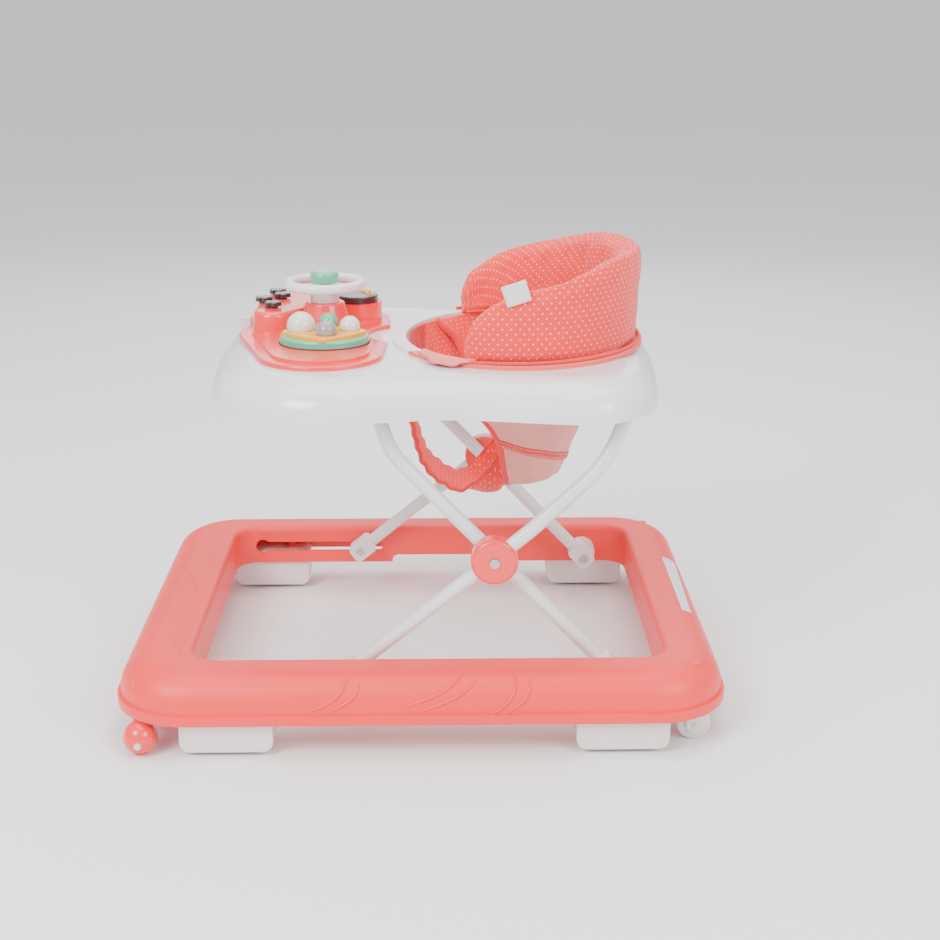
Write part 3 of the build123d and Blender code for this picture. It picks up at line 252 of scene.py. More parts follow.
    def _creases(self) -> bpy.types.NodeTree:
        """Soft creases of handled cloth, as a height and a shade."""
        tree, sheet = self._group(
            "Soft creases",
            [("Vector", "NodeSocketVector", None), ("Size", "NodeSocketFloat", 0.04)],
            [("Height", "NodeSocketFloat"), ("Shade", "NodeSocketFloat")],
        )
        given = sheet.add("NodeGroupInput").outputs
        scale = sheet.math("DIVIDE", 1.0, given["Size"])
        bent = sheet.add("ShaderNodeTexNoise", {"Vector": given["Vector"], "Scale": scale, "Distortion": 1.4})
        fold = sheet.math("ABSOLUTE", sheet.math("SUBTRACT", bent.outputs["Fac"], 0.5))
        ridge = sheet.add("ShaderNodeMapRange", {"Value": fold, "From Min": 0.0, "From Max": 0.12})
        result = sheet.add("NodeGroupOutput").inputs
        sheet.link(ridge.outputs["Result"], result["Height"])
        sheet.link(bent.outputs["Fac"], result["Shade"])
        return tree


# ---------------------------------------------------------------- finishes


class Place(Enum):
    """Where a finish reads its pattern from."""

    OBJECT = "Object"
    CLOTH = "UV"


def start_material(name: str, place: Place) -> tuple[bpy.types.Material, Sheet, bpy.types.NodeSocket]:
    """Makes an empty node material.

    Args:
        name: the material's name.
        place: the coordinates that its pattern reads.

    Returns:
        The material, a Sheet on its tree, and the coordinate socket.
    """
    material = bpy.data.materials.new(name)
    material.use_nodes = True
    material.node_tree.nodes.clear()
    sheet = Sheet(material.node_tree)
    where = sheet.add("ShaderNodeTexCoord")
    return material, sheet, where.outputs[place.value]


def close_material(sheet: Sheet, shader: bpy.types.Node) -> None:
    """Sends a shader to the material's surface."""
    sheet.add("ShaderNodeOutputMaterial", {"Surface": shader.outputs[0]})


@dataclass(frozen=True)
class Moulding:
    """A moulded plastic or powder coat finish; one with a front colour wears it ahead of its hem."""

    name: str
    colour: Colour
    shade: Colour
    roughness: float
    coat: float = 0.0
    coat_roughness: float = 0.1
    grain_mm: float = 0.8
    grain_height: float = 0.03
    scuffs: float = 0.1
    subsurface: float = 0.0
    front: Colour | None = None
    behind_x: float = 0.05
    beside_y: float = -0.088

    def material(self, effects: Effects) -> bpy.types.Material:
        """Builds the finish as a node material."""
        made, sheet, where = start_material(self.name, Place.OBJECT)
        surface = sheet.add("ShaderNodeGroup", node_tree=effects.moulded)
        sheet.link(where, surface.inputs["Vector"])
        surface.inputs["Colour"].default_value = opaque(self.colour)
        surface.inputs["Shade"].default_value = opaque(self.shade)
        surface.inputs["Grain Size"].default_value = self.grain_mm
        surface.inputs["Roughness"].default_value = self.roughness
        surface.inputs["Scuffs"].default_value = self.scuffs
        bump = sheet.add(
            "ShaderNodeBump",
            {"Height": surface.outputs["Height"], "Strength": 0.35, "Distance": self.grain_height * MM},
        )
        colour = surface.outputs["Colour"]
        if self.front:
            axes = sheet.add("ShaderNodeSeparateXYZ", {0: where})
            behind = sheet.math("GREATER_THAN", axes.outputs["X"], self.behind_x)
            beside = sheet.math("LESS_THAN", axes.outputs["Y"], self.beside_y)
            colour = sheet.blend(sheet.math("MAXIMUM", behind, beside), opaque(self.front), colour)
        shader = sheet.add(
            "ShaderNodeBsdfPrincipled",
            {
                "Base Color": colour,
                "Roughness": surface.outputs["Roughness"],
                "Normal": bump.outputs["Normal"],
                "Coat Weight": self.coat,
                "Coat Roughness": self.coat_roughness,
                "Subsurface Weight": self.subsurface,
                "Subsurface Scale": 0.004,
            },
        )
        close_material(sheet, shader)
        return made


@dataclass(frozen=True)
class Cloth:
    """A woven cloth finish, plain or with printed dots, patterned on the piece's own cut."""

    name: str
    colour: Colour
    shade: Colour
    dot: Colour | None = None
    dot_radius: float = 0.0009
    cell: tuple[float, float, float] = (0.0088, 0.0112, 1.0)
    thread: float = 0.0005
    crease_size: float = 0.05
    crease_height: float = 0.0012
    sheen: float = 0.25

    def material(self, effects: Effects) -> bpy.types.Material:
        """Builds the finish as a node material."""
        made, sheet, where = start_material(self.name, Place.CLOTH)
        weave = sheet.add("ShaderNodeGroup", node_tree=effects.weave)
        creases = sheet.add("ShaderNodeGroup", node_tree=effects.creases)
        sheet.link(where, weave.inputs["Vector"])
        sheet.link(where, creases.inputs["Vector"])
        weave.inputs["Thread"].default_value = self.thread
        creases.inputs["Size"].default_value = self.crease_size
        worn = sheet.math("MULTIPLY_ADD", weave.outputs["Slub"], 0.5, creases.outputs["Shade"])
        worn = sheet.math("SUBTRACT", worn, 0.35)
        colour = sheet.blend(worn, opaque(self.colour), opaque(self.shade))
        if self.dot:
            dots = sheet.add("ShaderNodeGroup", node_tree=effects.dots)
            sheet.link(where, dots.inputs["Vector"])
            dots.inputs["Cell"].default_value = self.cell
            dots.inputs["Radius"].default_value = self.dot_radius
            colour = sheet.blend(dots.outputs["Mask"], colour, opaque(self.dot))
        folds = sheet.add(
            "ShaderNodeBump",
            {"Height": creases.outputs["Height"], "Strength": 0.5, "Distance": self.crease_height},
        )
        threads = sheet.add(
            "ShaderNodeBump",
            {
                "Height": weave.outputs["Height"],
                "Strength": 0.4,
                "Distance": 0.00012,
                "Normal": folds.outputs["Normal"],
            },
        )
        rough = sheet.math("MULTIPLY_ADD", weave.outputs["Slub"], 0.15, 0.72)
        shader = sheet.add(
            "ShaderNodeBsdfPrincipled",
            {
                "Base Color": colour,
                "Roughness": rough,
                "Normal": threads.outputs["Normal"],
                "Sheen Weight": self.sheen,
                "Sheen Roughness": 0.5,
                "Specular IOR Level": 0.25,
            },
        )
        close_material(sheet, shader)
        return made


@dataclass(frozen=True)
class Plating:
    """Bright zinc plating with fine turning marks."""

    name: str
    colour: Colour
    roughness: float = 0.32

    def material(self, effects: Effects) -> bpy.types.Material:
        """Builds the finish as a node material."""
        made, sheet, where = start_material(self.name, Place.OBJECT)
        bands = sheet.add("ShaderNodeMapping", {"Vector": where, "Scale": (60.0, 1800.0, 60.0)})
        noise = sheet.add("ShaderNodeTexNoise", {"Vector": bands.outputs[0], "Scale": 1.0, "Detail": 3.0})
        stain = sheet.add("ShaderNodeTexNoise", {"Vector": where, "Scale": 240.0, "Detail": 4.0})
        dull = tuple(0.72 * part for part in self.colour)
        colour = sheet.blend(stain.outputs["Fac"], opaque(self.colour), opaque(dull))
        rough = sheet.math("MULTIPLY_ADD", stain.outputs["Fac"], 0.2, self.roughness)
        bump = sheet.add(
            "ShaderNodeBump",
            {"Height": noise.outputs["Fac"], "Strength": 0.2, "Distance": 0.00005},
        )
        shader = sheet.add(
            "ShaderNodeBsdfPrincipled",
            {"Base Color": colour, "Roughness": rough, "Normal": bump.outputs["Normal"], "Metallic": 1.0},
        )
        close_material(sheet, shader)
        return made


class Finishes:
    """Every finish of the walker, by the record's slot or by its own name."""

    CORAL = (0.97, 0.038, 0.035)
    CORAL_SHADE = (0.9, 0.028, 0.026)
    WHITE = (0.80, 0.795, 0.81)
    WHITE_SHADE = (0.74, 0.735, 0.75)
    BLUSH = (0.79, 0.72, 0.715)

    def __init__(self) -> None:
        """Builds the shared effects and then each material."""
        effects = Effects()
        listed = [
            Moulding(
                "coral_base", self.CORAL, self.CORAL_SHADE, 0.42,
                coat=0.12, coat_roughness=0.35, grain_mm=1.1, grain_height=0.05, scuffs=0.12, subsurface=0.05,
            ),
            Moulding(
                "coral_plastic", (0.97, 0.042, 0.04), self.CORAL_SHADE, 0.22,
                coat=0.5, coat_roughness=0.08, grain_mm=0.6, grain_height=0.012, scuffs=0.08, subsurface=0.05,
            ),
            Moulding(
                "tray_white", self.WHITE, self.WHITE_SHADE, 0.2,
                coat=0.45, coat_roughness=0.07, grain_mm=0.7, grain_height=0.01, scuffs=0.07,
            ),
            Moulding(
                "white_plastic", self.BLUSH, (0.72, 0.64, 0.63), 0.38,
                coat=0.1, coat_roughness=0.3, scuffs=0.14,
            ),
            Moulding(
                "blush_plastic", (0.8, 0.66, 0.655), (0.74, 0.58, 0.57), 0.36,
                coat=0.15, coat_roughness=0.25, scuffs=0.12,
            ),
            Moulding(
                "white_paint", (0.76, 0.77, 0.76), (0.7, 0.71, 0.7), 0.24,
                coat=0.5, grain_mm=1.6, grain_height=0.02, scuffs=0.06,
            ),
            Plating("steel", (0.62, 0.62, 0.61)),
            Moulding(
                "rubber", (0.055, 0.05, 0.05), (0.09, 0.085, 0.085), 0.7,
                grain_mm=0.5, grain_height=0.06, scuffs=0.15,
            ),
            Cloth("seat_fabric", (0.97, 0.046, 0.042), (0.88, 0.024, 0.022), (0.97, 0.5, 0.46)),
            Cloth("lining_fabric", (0.84, 0.36, 0.31), (0.76, 0.26, 0.22), crease_size=0.07),
            # painted shade: a darker copy of the seat coral for the front of the cloth hanging in the well
            Cloth("gather_fabric", (0.66, 0.014, 0.012), (0.5, 0.007, 0.006), crease_size=0.02),
            Cloth(
                "piping_fabric", (0.86, 0.045, 0.042), (0.74, 0.024, 0.022),
                thread=0.0004, crease_size=0.01,
            ),
            Cloth("hem_fabric", (0.94, 0.24, 0.22), (0.88, 0.14, 0.13), crease_size=0.03),
            Cloth("thread_fabric", (0.93, 0.6, 0.58), (0.88, 0.5, 0.48), thread=0.0003, crease_size=0.01),
            Cloth(
                "tag_fabric", (0.8, 0.8, 0.82), (0.72, 0.72, 0.75),
                thread=0.0003, crease_size=0.02, sheen=0.1,
            ),
            Moulding(
                "mint_plastic", (0.1, 0.5, 0.29), (0.07, 0.42, 0.24), 0.22,
                coat=0.45, coat_roughness=0.08, grain_mm=0.6, grain_height=0.012, scuffs=0.06,
            ),
            Moulding(
                "yellow_plastic", (0.97, 0.42, 0.003), (0.9, 0.35, 0.002), 0.22,
                coat=0.4, coat_roughness=0.08, grain_mm=0.6, grain_height=0.012, scuffs=0.06,
            ),
            Moulding(
                "pearl_plastic", (0.78, 0.75, 0.72), (0.7, 0.67, 0.64), 0.12,
                coat=0.7, coat_roughness=0.04, grain_mm=0.5, grain_height=0.006, scuffs=0.04, subsurface=0.1,
            ),
            Moulding(
                "grey_plastic", (0.33, 0.3, 0.3), (0.26, 0.24, 0.24), 0.14,
                coat=0.6, coat_roughness=0.05, grain_mm=0.5, grain_height=0.006, scuffs=0.05,
            ),
            Moulding(
                "dark_plastic", (0.045, 0.028, 0.03), (0.07, 0.05, 0.05), 0.24,
                coat=0.4, grain_mm=0.6, grain_height=0.012,
            ),
            Moulding(
                "board_green", (0.02, 0.12, 0.05), (0.03, 0.16, 0.07), 0.35,
                coat=0.3, grain_height=0.02,
            ),
            Moulding(
                "hem_band", (0.93, 0.12, 0.11), (0.88, 0.08, 0.075), 0.55,
                coat_roughness=0.2, grain_mm=0.5, grain_height=0.05, scuffs=0.05, front=self.WHITE,
            ),
            Moulding(
                "label_paper", (0.82, 0.82, 0.83), (0.76, 0.76, 0.78), 0.4,
                coat=0.15, coat_roughness=0.2, grain_mm=0.6, grain_height=0.008, scuffs=0.05,
            ),
            Moulding(
                "gap_shadow", (0.05, 0.02, 0.02), (0.08, 0.03, 0.03), 0.8,
                grain_height=0.02, scuffs=0.0,
            ),
        ]
        self.made = {finish.name: finish.material(effects) for finish in listed}

    def __getitem__(self, name: str) -> bpy.types.Material:
        """The material of that name."""
        return self.made[name]


# ---------------------------------------------------------------- mesh helpers


def new_piece(name: str, mesh: bpy.types.Mesh, material: bpy.types.Material) -> bpy.types.Object:
    """Links a mesh as an object at the origin, smooth shaded, in one finish."""
    piece = bpy.data.objects.new(name, mesh)
    bpy.context.scene.collection.objects.link(piece)
    for face in mesh.polygons:
        face.use_smooth = True
    mesh.materials.clear()
    mesh.materials.append(material)
    return piece


def grid_mesh(
    name: str,
    points: np.ndarray,
    cut: np.ndarray,
    wrap: bool = False,
    caps: bool = False,
) -> bpy.types.Mesh:
    """A quad grid with its cloth cut as a UV map.

    Args:
        name: the mesh's name.
        points: rows by columns by xyz, in metres.
        cut: rows by columns (one more when wrapped) by two, in metres of flat cloth.
        wrap: whether the last column joins the first.
        caps: whether the first and last rows are closed with a fan.

    Returns:
        The mesh, with faces pointing outwards.
    """
    rows, columns = points.shape[:2]
    vertices = [tuple(p) for p in points.reshape(-1, 3)]
    faces, corners = [], []
    span = columns if wrap else columns - 1
    for i in range(rows - 1):
        for j in range(span):
            k = (j + 1) % columns
            faces.append((i * columns + j, i * columns + k, (i + 1) * columns + k, (i + 1) * columns + j))
            corners.append(((i, j), (i, j + 1), (i + 1, j + 1), (i + 1, j)))
    if caps:
        for row, flip in ((0, True), (rows - 1, False)):
            middle = len(vertices)
            vertices.append(tuple(points[row].mean(0)))
            for j in range(span):
                k = (j + 1) % columns
                first, second = row * columns + j, row * columns + k
                faces.append((middle, second, first) if flip else (middle, first, second))
                pair = [(row, j + 1), (row, j)] if flip else [(row, j), (row, j + 1)]
                corners.append(((row, j), *pair))
    mesh = bpy.data.meshes.new(name)
    mesh.from_pydata(vertices, [], faces)
    layer = mesh.uv_layers.new(name="cut")
    flat = [cut[i][j] for face in corners for i, j in face]
    layer.data.foreach_set("uv", np.array(flat, float).reshape(-1))
    mesh.update()
    shell = bmesh.new()
    shell.from_mesh(mesh)
    bmesh.ops.recalc_face_normals(shell, faces=shell.faces)
    shell.to_mesh(mesh)
    shell.free()
    return mesh


def add_levels(piece: bpy.types.Object, levels: int = 1) -> bpy.types.Object:
    """Adds a Subdivision Surface of the same level for view and render."""
    smooth = piece.modifiers.new("smooth", "SUBSURF")
    smooth.levels = smooth.render_levels = levels
    smooth.boundary_smooth = "PRESERVE_CORNERS"
    return piece


def add_wall(
    piece: bpy.types.Object, thickness: float, offset: float = 0.0, back: int = 0
) -> bpy.types.Object:
    """Gives a sheet its thickness, with another material on its back if asked."""
    wall = piece.modifiers.new("wall", "SOLIDIFY")
    wall.thickness = thickness
    wall.offset = offset
    wall.use_even_offset = False
    wall.material_offset = back
    return piece


def run_along(line: np.ndarray) -> np.ndarray:
    """The length travelled at each place of a line, from 0."""
    return np.concatenate([[0], np.cumsum(np.linalg.norm(np.diff(line, axis=0), axis=1))])


def run_round(loop: np.ndarray) -> np.ndarray:
    """The length travelled at each place of a closed loop, ending with its whole girth."""
    steps = np.linalg.norm(loop - np.roll(loop, 1, axis=0), axis=1)
    return np.concatenate([[0], np.cumsum(steps[1:]), [steps.sum()]])


def settle_path(points: Sequence[Sequence[float]], count: int) -> np.ndarray:
    """A smooth line through points, sampled evenly.

    Args:
        points: places that the line passes.
        count: how many samples come back.

    Returns:
        count by three places, in the unit of the points.
    """
    knots = np.array(points, float)
    knots = np.vstack([2 * knots[0] - knots[1], knots, 2 * knots[-1] - knots[-2]])
    fine = []
    for a, b, c, d in zip(knots, knots[1:], knots[2:], knots[3:]):
        bend = 2 * a - 5 * b + 4 * c - d
        twist = 3 * b - a - 3 * c + d
        for t in np.linspace(0, 1, 24, endpoint=False):
            fine.append(0.5 * (2 * b + (c - a) * t + bend * t**2 + twist * t**3))
    fine.append(knots[-2])
    fine = np.array(fine)
    run = run_along(fine)
    want = np.linspace(0, run[-1], count)
    return np.stack([np.interp(want, run, fine[:, k]) for k in range(3)], 1)


class Repeats:
    """Geometry Nodes trees for what repeats along, or follows, a path."""

    def __init__(self) -> None:
        """Builds the two trees."""
        self.stitches = self._stitches()
        self.ridge = self._ridge()

    @staticmethod
    def _start(name: str, numbers: dict[str, float]) -> tuple[bpy.types.NodeTree, Sheet, bpy.types.Node]:
        """Starts a tree that takes an edge path, named numbers and a material."""
        tree = bpy.data.node_groups.new(name, "GeometryNodeTree")
        tree.interface.new_socket("Geometry", in_out="INPUT", socket_type="NodeSocketGeometry")
        for label, default in numbers.items():
            socket = tree.interface.new_socket(label, in_out="INPUT", socket_type="NodeSocketFloat")
            socket.default_value = default
        tree.interface.new_socket("Material", in_out="INPUT", socket_type="NodeSocketMaterial")
        tree.interface.new_socket("Geometry", in_out="OUTPUT", socket_type="NodeSocketGeometry")
        sheet = Sheet(tree)
        return tree, sheet, sheet.add("NodeGroupInput")

    @staticmethod
    def _finish(sheet: Sheet, given: bpy.types.Node, geometry: bpy.types.NodeSocket) -> None:
        """Realises the instances, sets the material and ends the tree."""
        real = sheet.add("GeometryNodeRealizeInstances", {"Geometry": geometry})
        smooth = sheet.add("GeometryNodeSetShadeSmooth", {"Geometry": real.outputs[0]})
        finish = given.outputs["Material"]
        painted = sheet.add("GeometryNodeSetMaterial", {"Geometry": smooth.outputs[0], "Material": finish})
        sheet.add("NodeGroupOutput", {"Geometry": painted.outputs[0]})

    @staticmethod
    def _spaced(sheet: Sheet, given: bpy.types.Node) -> bpy.types.Node:
        """Turns the edge path into a curve with points at the given spacing."""
        path = sheet.add("GeometryNodeMeshToCurve", {"Mesh": given.outputs["Geometry"]})
        spacing = given.outputs["Spacing"]
        return sheet.add("GeometryNodeResampleCurve", {0: path.outputs[0], 3: spacing}, mode="LENGTH")

    def _stitches(self) -> bpy.types.NodeTree:
        """Short raised threads, evenly spaced along a path."""
        numbers = {"Spacing": 0.004, "Length": 0.0026, "Radius": 0.0004}
        tree, sheet, given = self._start("Row of stitches", numbers)
        spaced = self._spaced(sheet, given)
        radius = given.outputs["Radius"]
        thread = sheet.add("GeometryNodeMeshUVSphere", {"Segments": 6, "Rings": 5, "Radius": radius})
        share = sheet.math("DIVIDE", given.outputs["Length"], radius)
        long = sheet.math("MULTIPLY", share, 0.5)
        size = sheet.add("ShaderNodeCombineXYZ", {0: 1.0, 1: 1.0, 2: long})
        heading = sheet.add("GeometryNodeInputTangent")
        turned = sheet.add("FunctionNodeAlignRotationToVector", {"Vector": heading.outputs[0]}, axis="Z")
        row = sheet.add(
            "GeometryNodeInstanceOnPoints",
            {
                "Points": spaced.outputs[0],
                "Instance": thread.outputs[0],
                "Rotation": turned.outputs[0],
                "Scale": size.outputs[0],
            },
        )
        self._finish(sheet, given, row.outputs[0])
        return tree

    def _ridge(self) -> bpy.types.NodeTree:
        """A round cord or ridge that follows a path and thins out towards its ends."""
        numbers = {"Radius": 0.002, "Taper": 0.0, "Spacing": 0.004}
        tree, sheet, given = self._start("Ridge along a path", numbers)
        spaced = self._spaced(sheet, given)
        along = sheet.add("GeometryNodeSplineParameter")
        ends = sheet.math("MULTIPLY", along.outputs["Factor"], math.pi)
        swell = sheet.math("POWER", sheet.math("MAXIMUM", sheet.math("SINE", ends), 0.02), 0.5)
        keep = sheet.math("SUBTRACT", 1.0, given.outputs["Taper"])
        width = sheet.math("MULTIPLY_ADD", swell, given.outputs["Taper"], keep)
        radius = sheet.math("MULTIPLY", width, given.outputs["Radius"])
        sized = sheet.add("GeometryNodeSetCurveRadius", {"Curve": spaced.outputs[0], "Radius": radius})
        ring = sheet.add("GeometryNodeCurvePrimitiveCircle", {"Resolution": 10, "Radius": 1.0}, mode="RADIUS")
        tube = sheet.add(
            "GeometryNodeCurveToMesh",
            {
                "Curve": sized.outputs[0],
                "Profile Curve": ring.outputs[0],
                "Scale": radius,
                "Fill Caps": True,
            },
        )
        self._finish(sheet, given, tube.outputs[0])
        return tree

    def cord(
        self, name: str, paths: Sequence[np.ndarray], material: bpy.types.Material, **how: float
    ) -> bpy.types.Object:
        """Runs the ridge tree over paths, as along does."""
        return self.along(self.ridge, name, paths, material, **how)

    def along(
        self,
        tree: bpy.types.NodeTree,
        name: str,
        paths: Sequence[np.ndarray],
        material: bpy.types.Material,
        closed: bool = False,
        **numbers: float,
    ) -> bpy.types.Object:
        """Runs a tree over paths and returns the result as a plain mesh piece.

        Args:
            tree: one of this class's trees.
            name: the piece's name.
            paths: lines of places in metres.
            material: the finish that the tree sets.
            closed: whether each path returns to its start.
            numbers: the tree's named inputs, in metres.

        Returns:
            The new piece, with no modifier left on it.
        """
        places, edges = [], []
        for path in paths:
            base = len(places)
            places += [tuple(p) for p in path]
            edges += [(base + i, base + i + 1) for i in range(len(path) - 1)]
            if closed:
                edges.append((base + len(path) - 1, base))
        line = bpy.data.meshes.new(name + "_path")
        line.from_pydata(places, edges, [])
        host = bpy.data.objects.new(name + "_path", line)
        bpy.context.scene.collection.objects.link(host)
        nodes = host.modifiers.new("repeat", "NODES")
        nodes.node_group = tree
        sockets = {s.name: s.identifier for s in tree.interface.items_tree if s.in_out == "INPUT"}
        for label, value in numbers.items():
            nodes[sockets[label.replace("_", " ").title()]] = value
        nodes[sockets["Material"]] = material
        ready = host.evaluated_get(bpy.context.evaluated_depsgraph_get())
        mesh = bpy.data.meshes.new_from_object(ready)
        mesh.name = name
        bpy.data.objects.remove(host)
        return new_piece(name, mesh, material)


def ride_all(body: str, slot: str, *pieces: bpy.types.Object) -> None:
    """Attaches finished pieces to a body and logs each one."""
    for piece in pieces:
        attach(piece, body)
        log.info("%s rides on %s, %d faces", piece.name, body, len(piece.data.polygons))


# ---------------------------------------------------------------- the soft seat


@dataclass
class Oval:
    """An upright oval wall round the seat, in millimetres."""

    middle: float
    half_length: float
    half_width: float

    def at(self, angle: np.ndarray | float, out: np.ndarray | float = 0.0) -> np.ndarray:
        """Plan places at angles from the rear, moved outwards by out, in millimetres."""
        angle = np.asarray(angle, float)
        across = np.stack([np.cos(angle) / self.half_length, np.sin(angle) / self.half_width], -1)
        across /= np.linalg.norm(across, axis=-1, keepdims=True)
        base = np.stack([self.middle + self.half_length * np.cos(angle), self.half_width * np.sin(angle)], -1)
        return base + across * np.asarray(out, float)[..., None]

    def even(self, limit: float, count: int) -> tuple[np.ndarray, np.ndarray]:
        """Angles from minus to plus limit at even arc lengths, and those lengths, in millimetres."""
        fine = np.linspace(-limit, limit, 2001)
        run = run_along(self.at(fine))
        want = np.linspace(0, run[-1], count)
        return np.interp(want, run, fine), want


HEM = Oval(113.0, 141.0, 166.0)


def level_line(plan: np.ndarray, height: float) -> np.ndarray:
    """Plan places in millimetres as places at one height, in metres."""
    return np.column_stack([plan, np.full(len(plan), height)]) * MM


def rounded_loop(half_width: float, low: float, high: float, radius: float, count: int) -> np.ndarray:
    """Evenly spaced points round an upright rounded rectangle, outer bottom first, in millimetres."""
    radius = min(radius, 0.98 * half_width, 0.49 * (high - low))
    corners = [
        (half_width - radius, low + radius, -0.5),
        (half_width - radius, high - radius, 0.0),
        (radius - half_width, high - radius, 0.5),
        (radius - half_width, low + radius, 1.0),
    ]
    line = []
    for x, z, start in corners:
        for turn in np.linspace(start, start + 0.5, 9) * math.pi:
            line.append((x + radius * math.cos(turn), z + radius * math.sin(turn)))
    line.append(line[0])
    line = np.array(line)
    run = run_along(line)
    want = np.linspace(0, run[-1], count, endpoint=False)
    return np.stack([np.interp(want, run, line[:, k]) for k in range(2)], 1)


@dataclass
class SeatBack:
    """The padded wrap of the seat: a C-shaped cushion that stands on the tray."""

    finishes: Finishes
    repeats: Repeats
    oval: Oval = field(default_factory=lambda: Oval(106.0, 136.5, 150.5))
    limit: float = math.radians(114.5)
    foot: float = 408.0
    half_pad: float = 12.5
    seam_below: float = 7.0
    seam_depth: float = 2.4
    seam_width: float = 3.2
    pucker: float = 0.75
    pucker_width: float = 16.0
    pleat: float = 0.9
    crease: float = 1.5
    swell: float = 0.8
    lining_crease: float = 1.1
    along: int = 132
    around: int = 60
    profile: tuple[tuple[float, float], ...] = (
        (46, 422), (52, 436), (56, 450), (62, 462), (76, 471), (92, 480), (120, 492),
        (157, 501), (189, 511), (207, 518), (230, 521), (262, 522),
    )

    def top(self, plan_x: np.ndarray | float) -> np.ndarray:
        """Height of the pad's top edge at a plan X, in millimetres."""
        xs, zs = zip(*self.profile)
        return np.interp(plan_x, xs, zs)

    def build(self) -> bpy.types.Object:
        """Builds the pad, puffs it up and gathers it along its seams."""
        angles, runs = self.oval.even(self.limit, self.along)
        rows, cuts = [], []
        for angle, run in zip(angles, runs):
            end = min(run, runs[-1] - run)
            ease = math.sqrt(max(1 - (1 - min(end / 15, 1)) ** 2, 0.012))
            high = float(self.top(self.oval.at(angle)[0]))
            lean = 2.5 + 0.02 * (high - self.foot)
            loop = rounded_loop(self.half_pad * ease, self.foot + 0.8, high - 3, 11, self.around)
            tilt = lean * (loop[:, 1] - self.foot) / (high - self.foot)
            plan = self.oval.at(np.full(len(loop), angle), loop[:, 0] + tilt - lean / 2)
            rows.append(np.column_stack([plan, loop[:, 1]]))
            cuts.append(np.column_stack([np.full(self.around + 1, run), run_round(loop)]))
        points = np.array(rows) * MM
        mesh = grid_mesh("seat_back_pad", points, np.array(cuts) * MM, wrap=True, caps=True)
        pad = new_piece("seat_back_pad", mesh, self.finishes["seat_fabric"])
        self.puff(pad)
        self.gather(pad, runs)
        add_levels(pad)
        return pad

    def puff(self, pad: bpy.types.Object, cap: float = 0.006) -> None:
        """Swells the pad with a pressure cloth simulation and keeps the result in its mesh."""
        start = np.array([v.co for v in pad.data.vertices])
        held = pad.vertex_groups.new(name="held")
        low = [i for i, place in enumerate(start) if place[2] < (self.foot + 3) * MM]
        held.add(low, 1.0, "REPLACE")
        cloth = pad.modifiers.new("cloth", "CLOTH")
        settings = cloth.settings
        settings.quality = 6
        settings.mass = 0.25
        settings.tension_stiffness = 22
        settings.compression_stiffness = 12
        settings.shear_stiffness = 6
        settings.bending_stiffness = 0.4
        settings.use_pressure = True
        settings.uniform_pressure_force = 4.0
        settings.effector_weights.gravity = 0.0
        settings.vertex_group_mass = "held"
        cloth.point_cache.frame_end = 24
        scene = bpy.context.scene
        for frame in range(1, 21):
            scene.frame_set(frame)
        swollen = pad.evaluated_get(bpy.context.evaluated_depsgraph_get())
        end = np.array([v.co for v in swollen.data.vertices])
        pad.modifiers.remove(cloth)
        pad.vertex_groups.remove(held)
        scene.frame_set(1)
        move = end - start
        far = np.linalg.norm(move, axis=1, keepdims=True)
        move *= np.minimum(1, cap / np.maximum(far, 1e-9))
        pad.data.vertices.foreach_set("co", (start + move).reshape(-1))
        pad.data.update()

    def gather(self, pad: bpy.types.Object, runs: np.ndarray) -> None:
        """Presses the top seam into the pad and puckers the cloth beside it."""
        mesh = pad.data
        normals = np.array([v.normal for v in mesh.vertices])
        places = np.array([v.co for v in mesh.vertices])
        count = self.along * self.around
        row = np.arange(count) // self.around
        run = runs[row]
        grid = places[:count].reshape(self.along, self.around, 3)
        crown = grid[:, :, 2].max(1)[row] / MM
        z = places[:count, 2] / MM
        plan = self.oval.at(self.oval.even(self.limit, self.along)[0])[row]
        outward = ((places[:count, :2] / MM - plan) * (plan - [self.oval.middle, 0])).sum(1)
        outward /= np.linalg.norm(plan - [self.oval.middle, 0], axis=1)
        seam_drop = np.abs(z - (crown - self.seam_below))
        outside = np.clip(outward / 8, 0, 1)
        seam = np.exp(-((seam_drop / self.seam_width) ** 2)) * outside
        beside = np.exp(-((seam_drop / self.pucker_width) ** 2)) * outside
        rear = np.clip((plan[:, 0] - 175) / 45, 0, 1)
        above = np.clip((z - (crown - 9)) / 6, 0, 1)
        ends = np.clip(1 - np.minimum(run, runs[-1] - run) / 70, 0, 1)
        off_foot = z - self.foot - 6
        shift = -self.seam_depth * seam
        shift += self.pucker * beside * np.sin(run / 5.3 + 2.2 * np.sin(run / 31))
        shift += self.pleat * rear * above * np.sin(run / 1.9)
        slant = np.sin((run + 0.75 * z) / 9.5 + 1.6 * np.sin(z / 13))
        shift += self.crease * ends * slant * np.clip(off_foot / 18, 0, 1)
        waves = np.sin(run / 23 + z / 17) * np.sin(z / 11 - run / 47)
        shift += self.swell * waves * np.clip(off_foot / 20, 0, 1)
        inside = np.clip(-outward / 8, 0, 1) * np.clip((crown - 10 - z) / 20, 0, 1)
        shift += self.lining_crease * inside * np.sin(run / 11 + 0.7 * np.sin(z / 9))
        places[:count] += normals[:count] * (shift * MM)[:, None]
        mesh.vertices.foreach_set("co", places.reshape(-1))
        mesh.update()


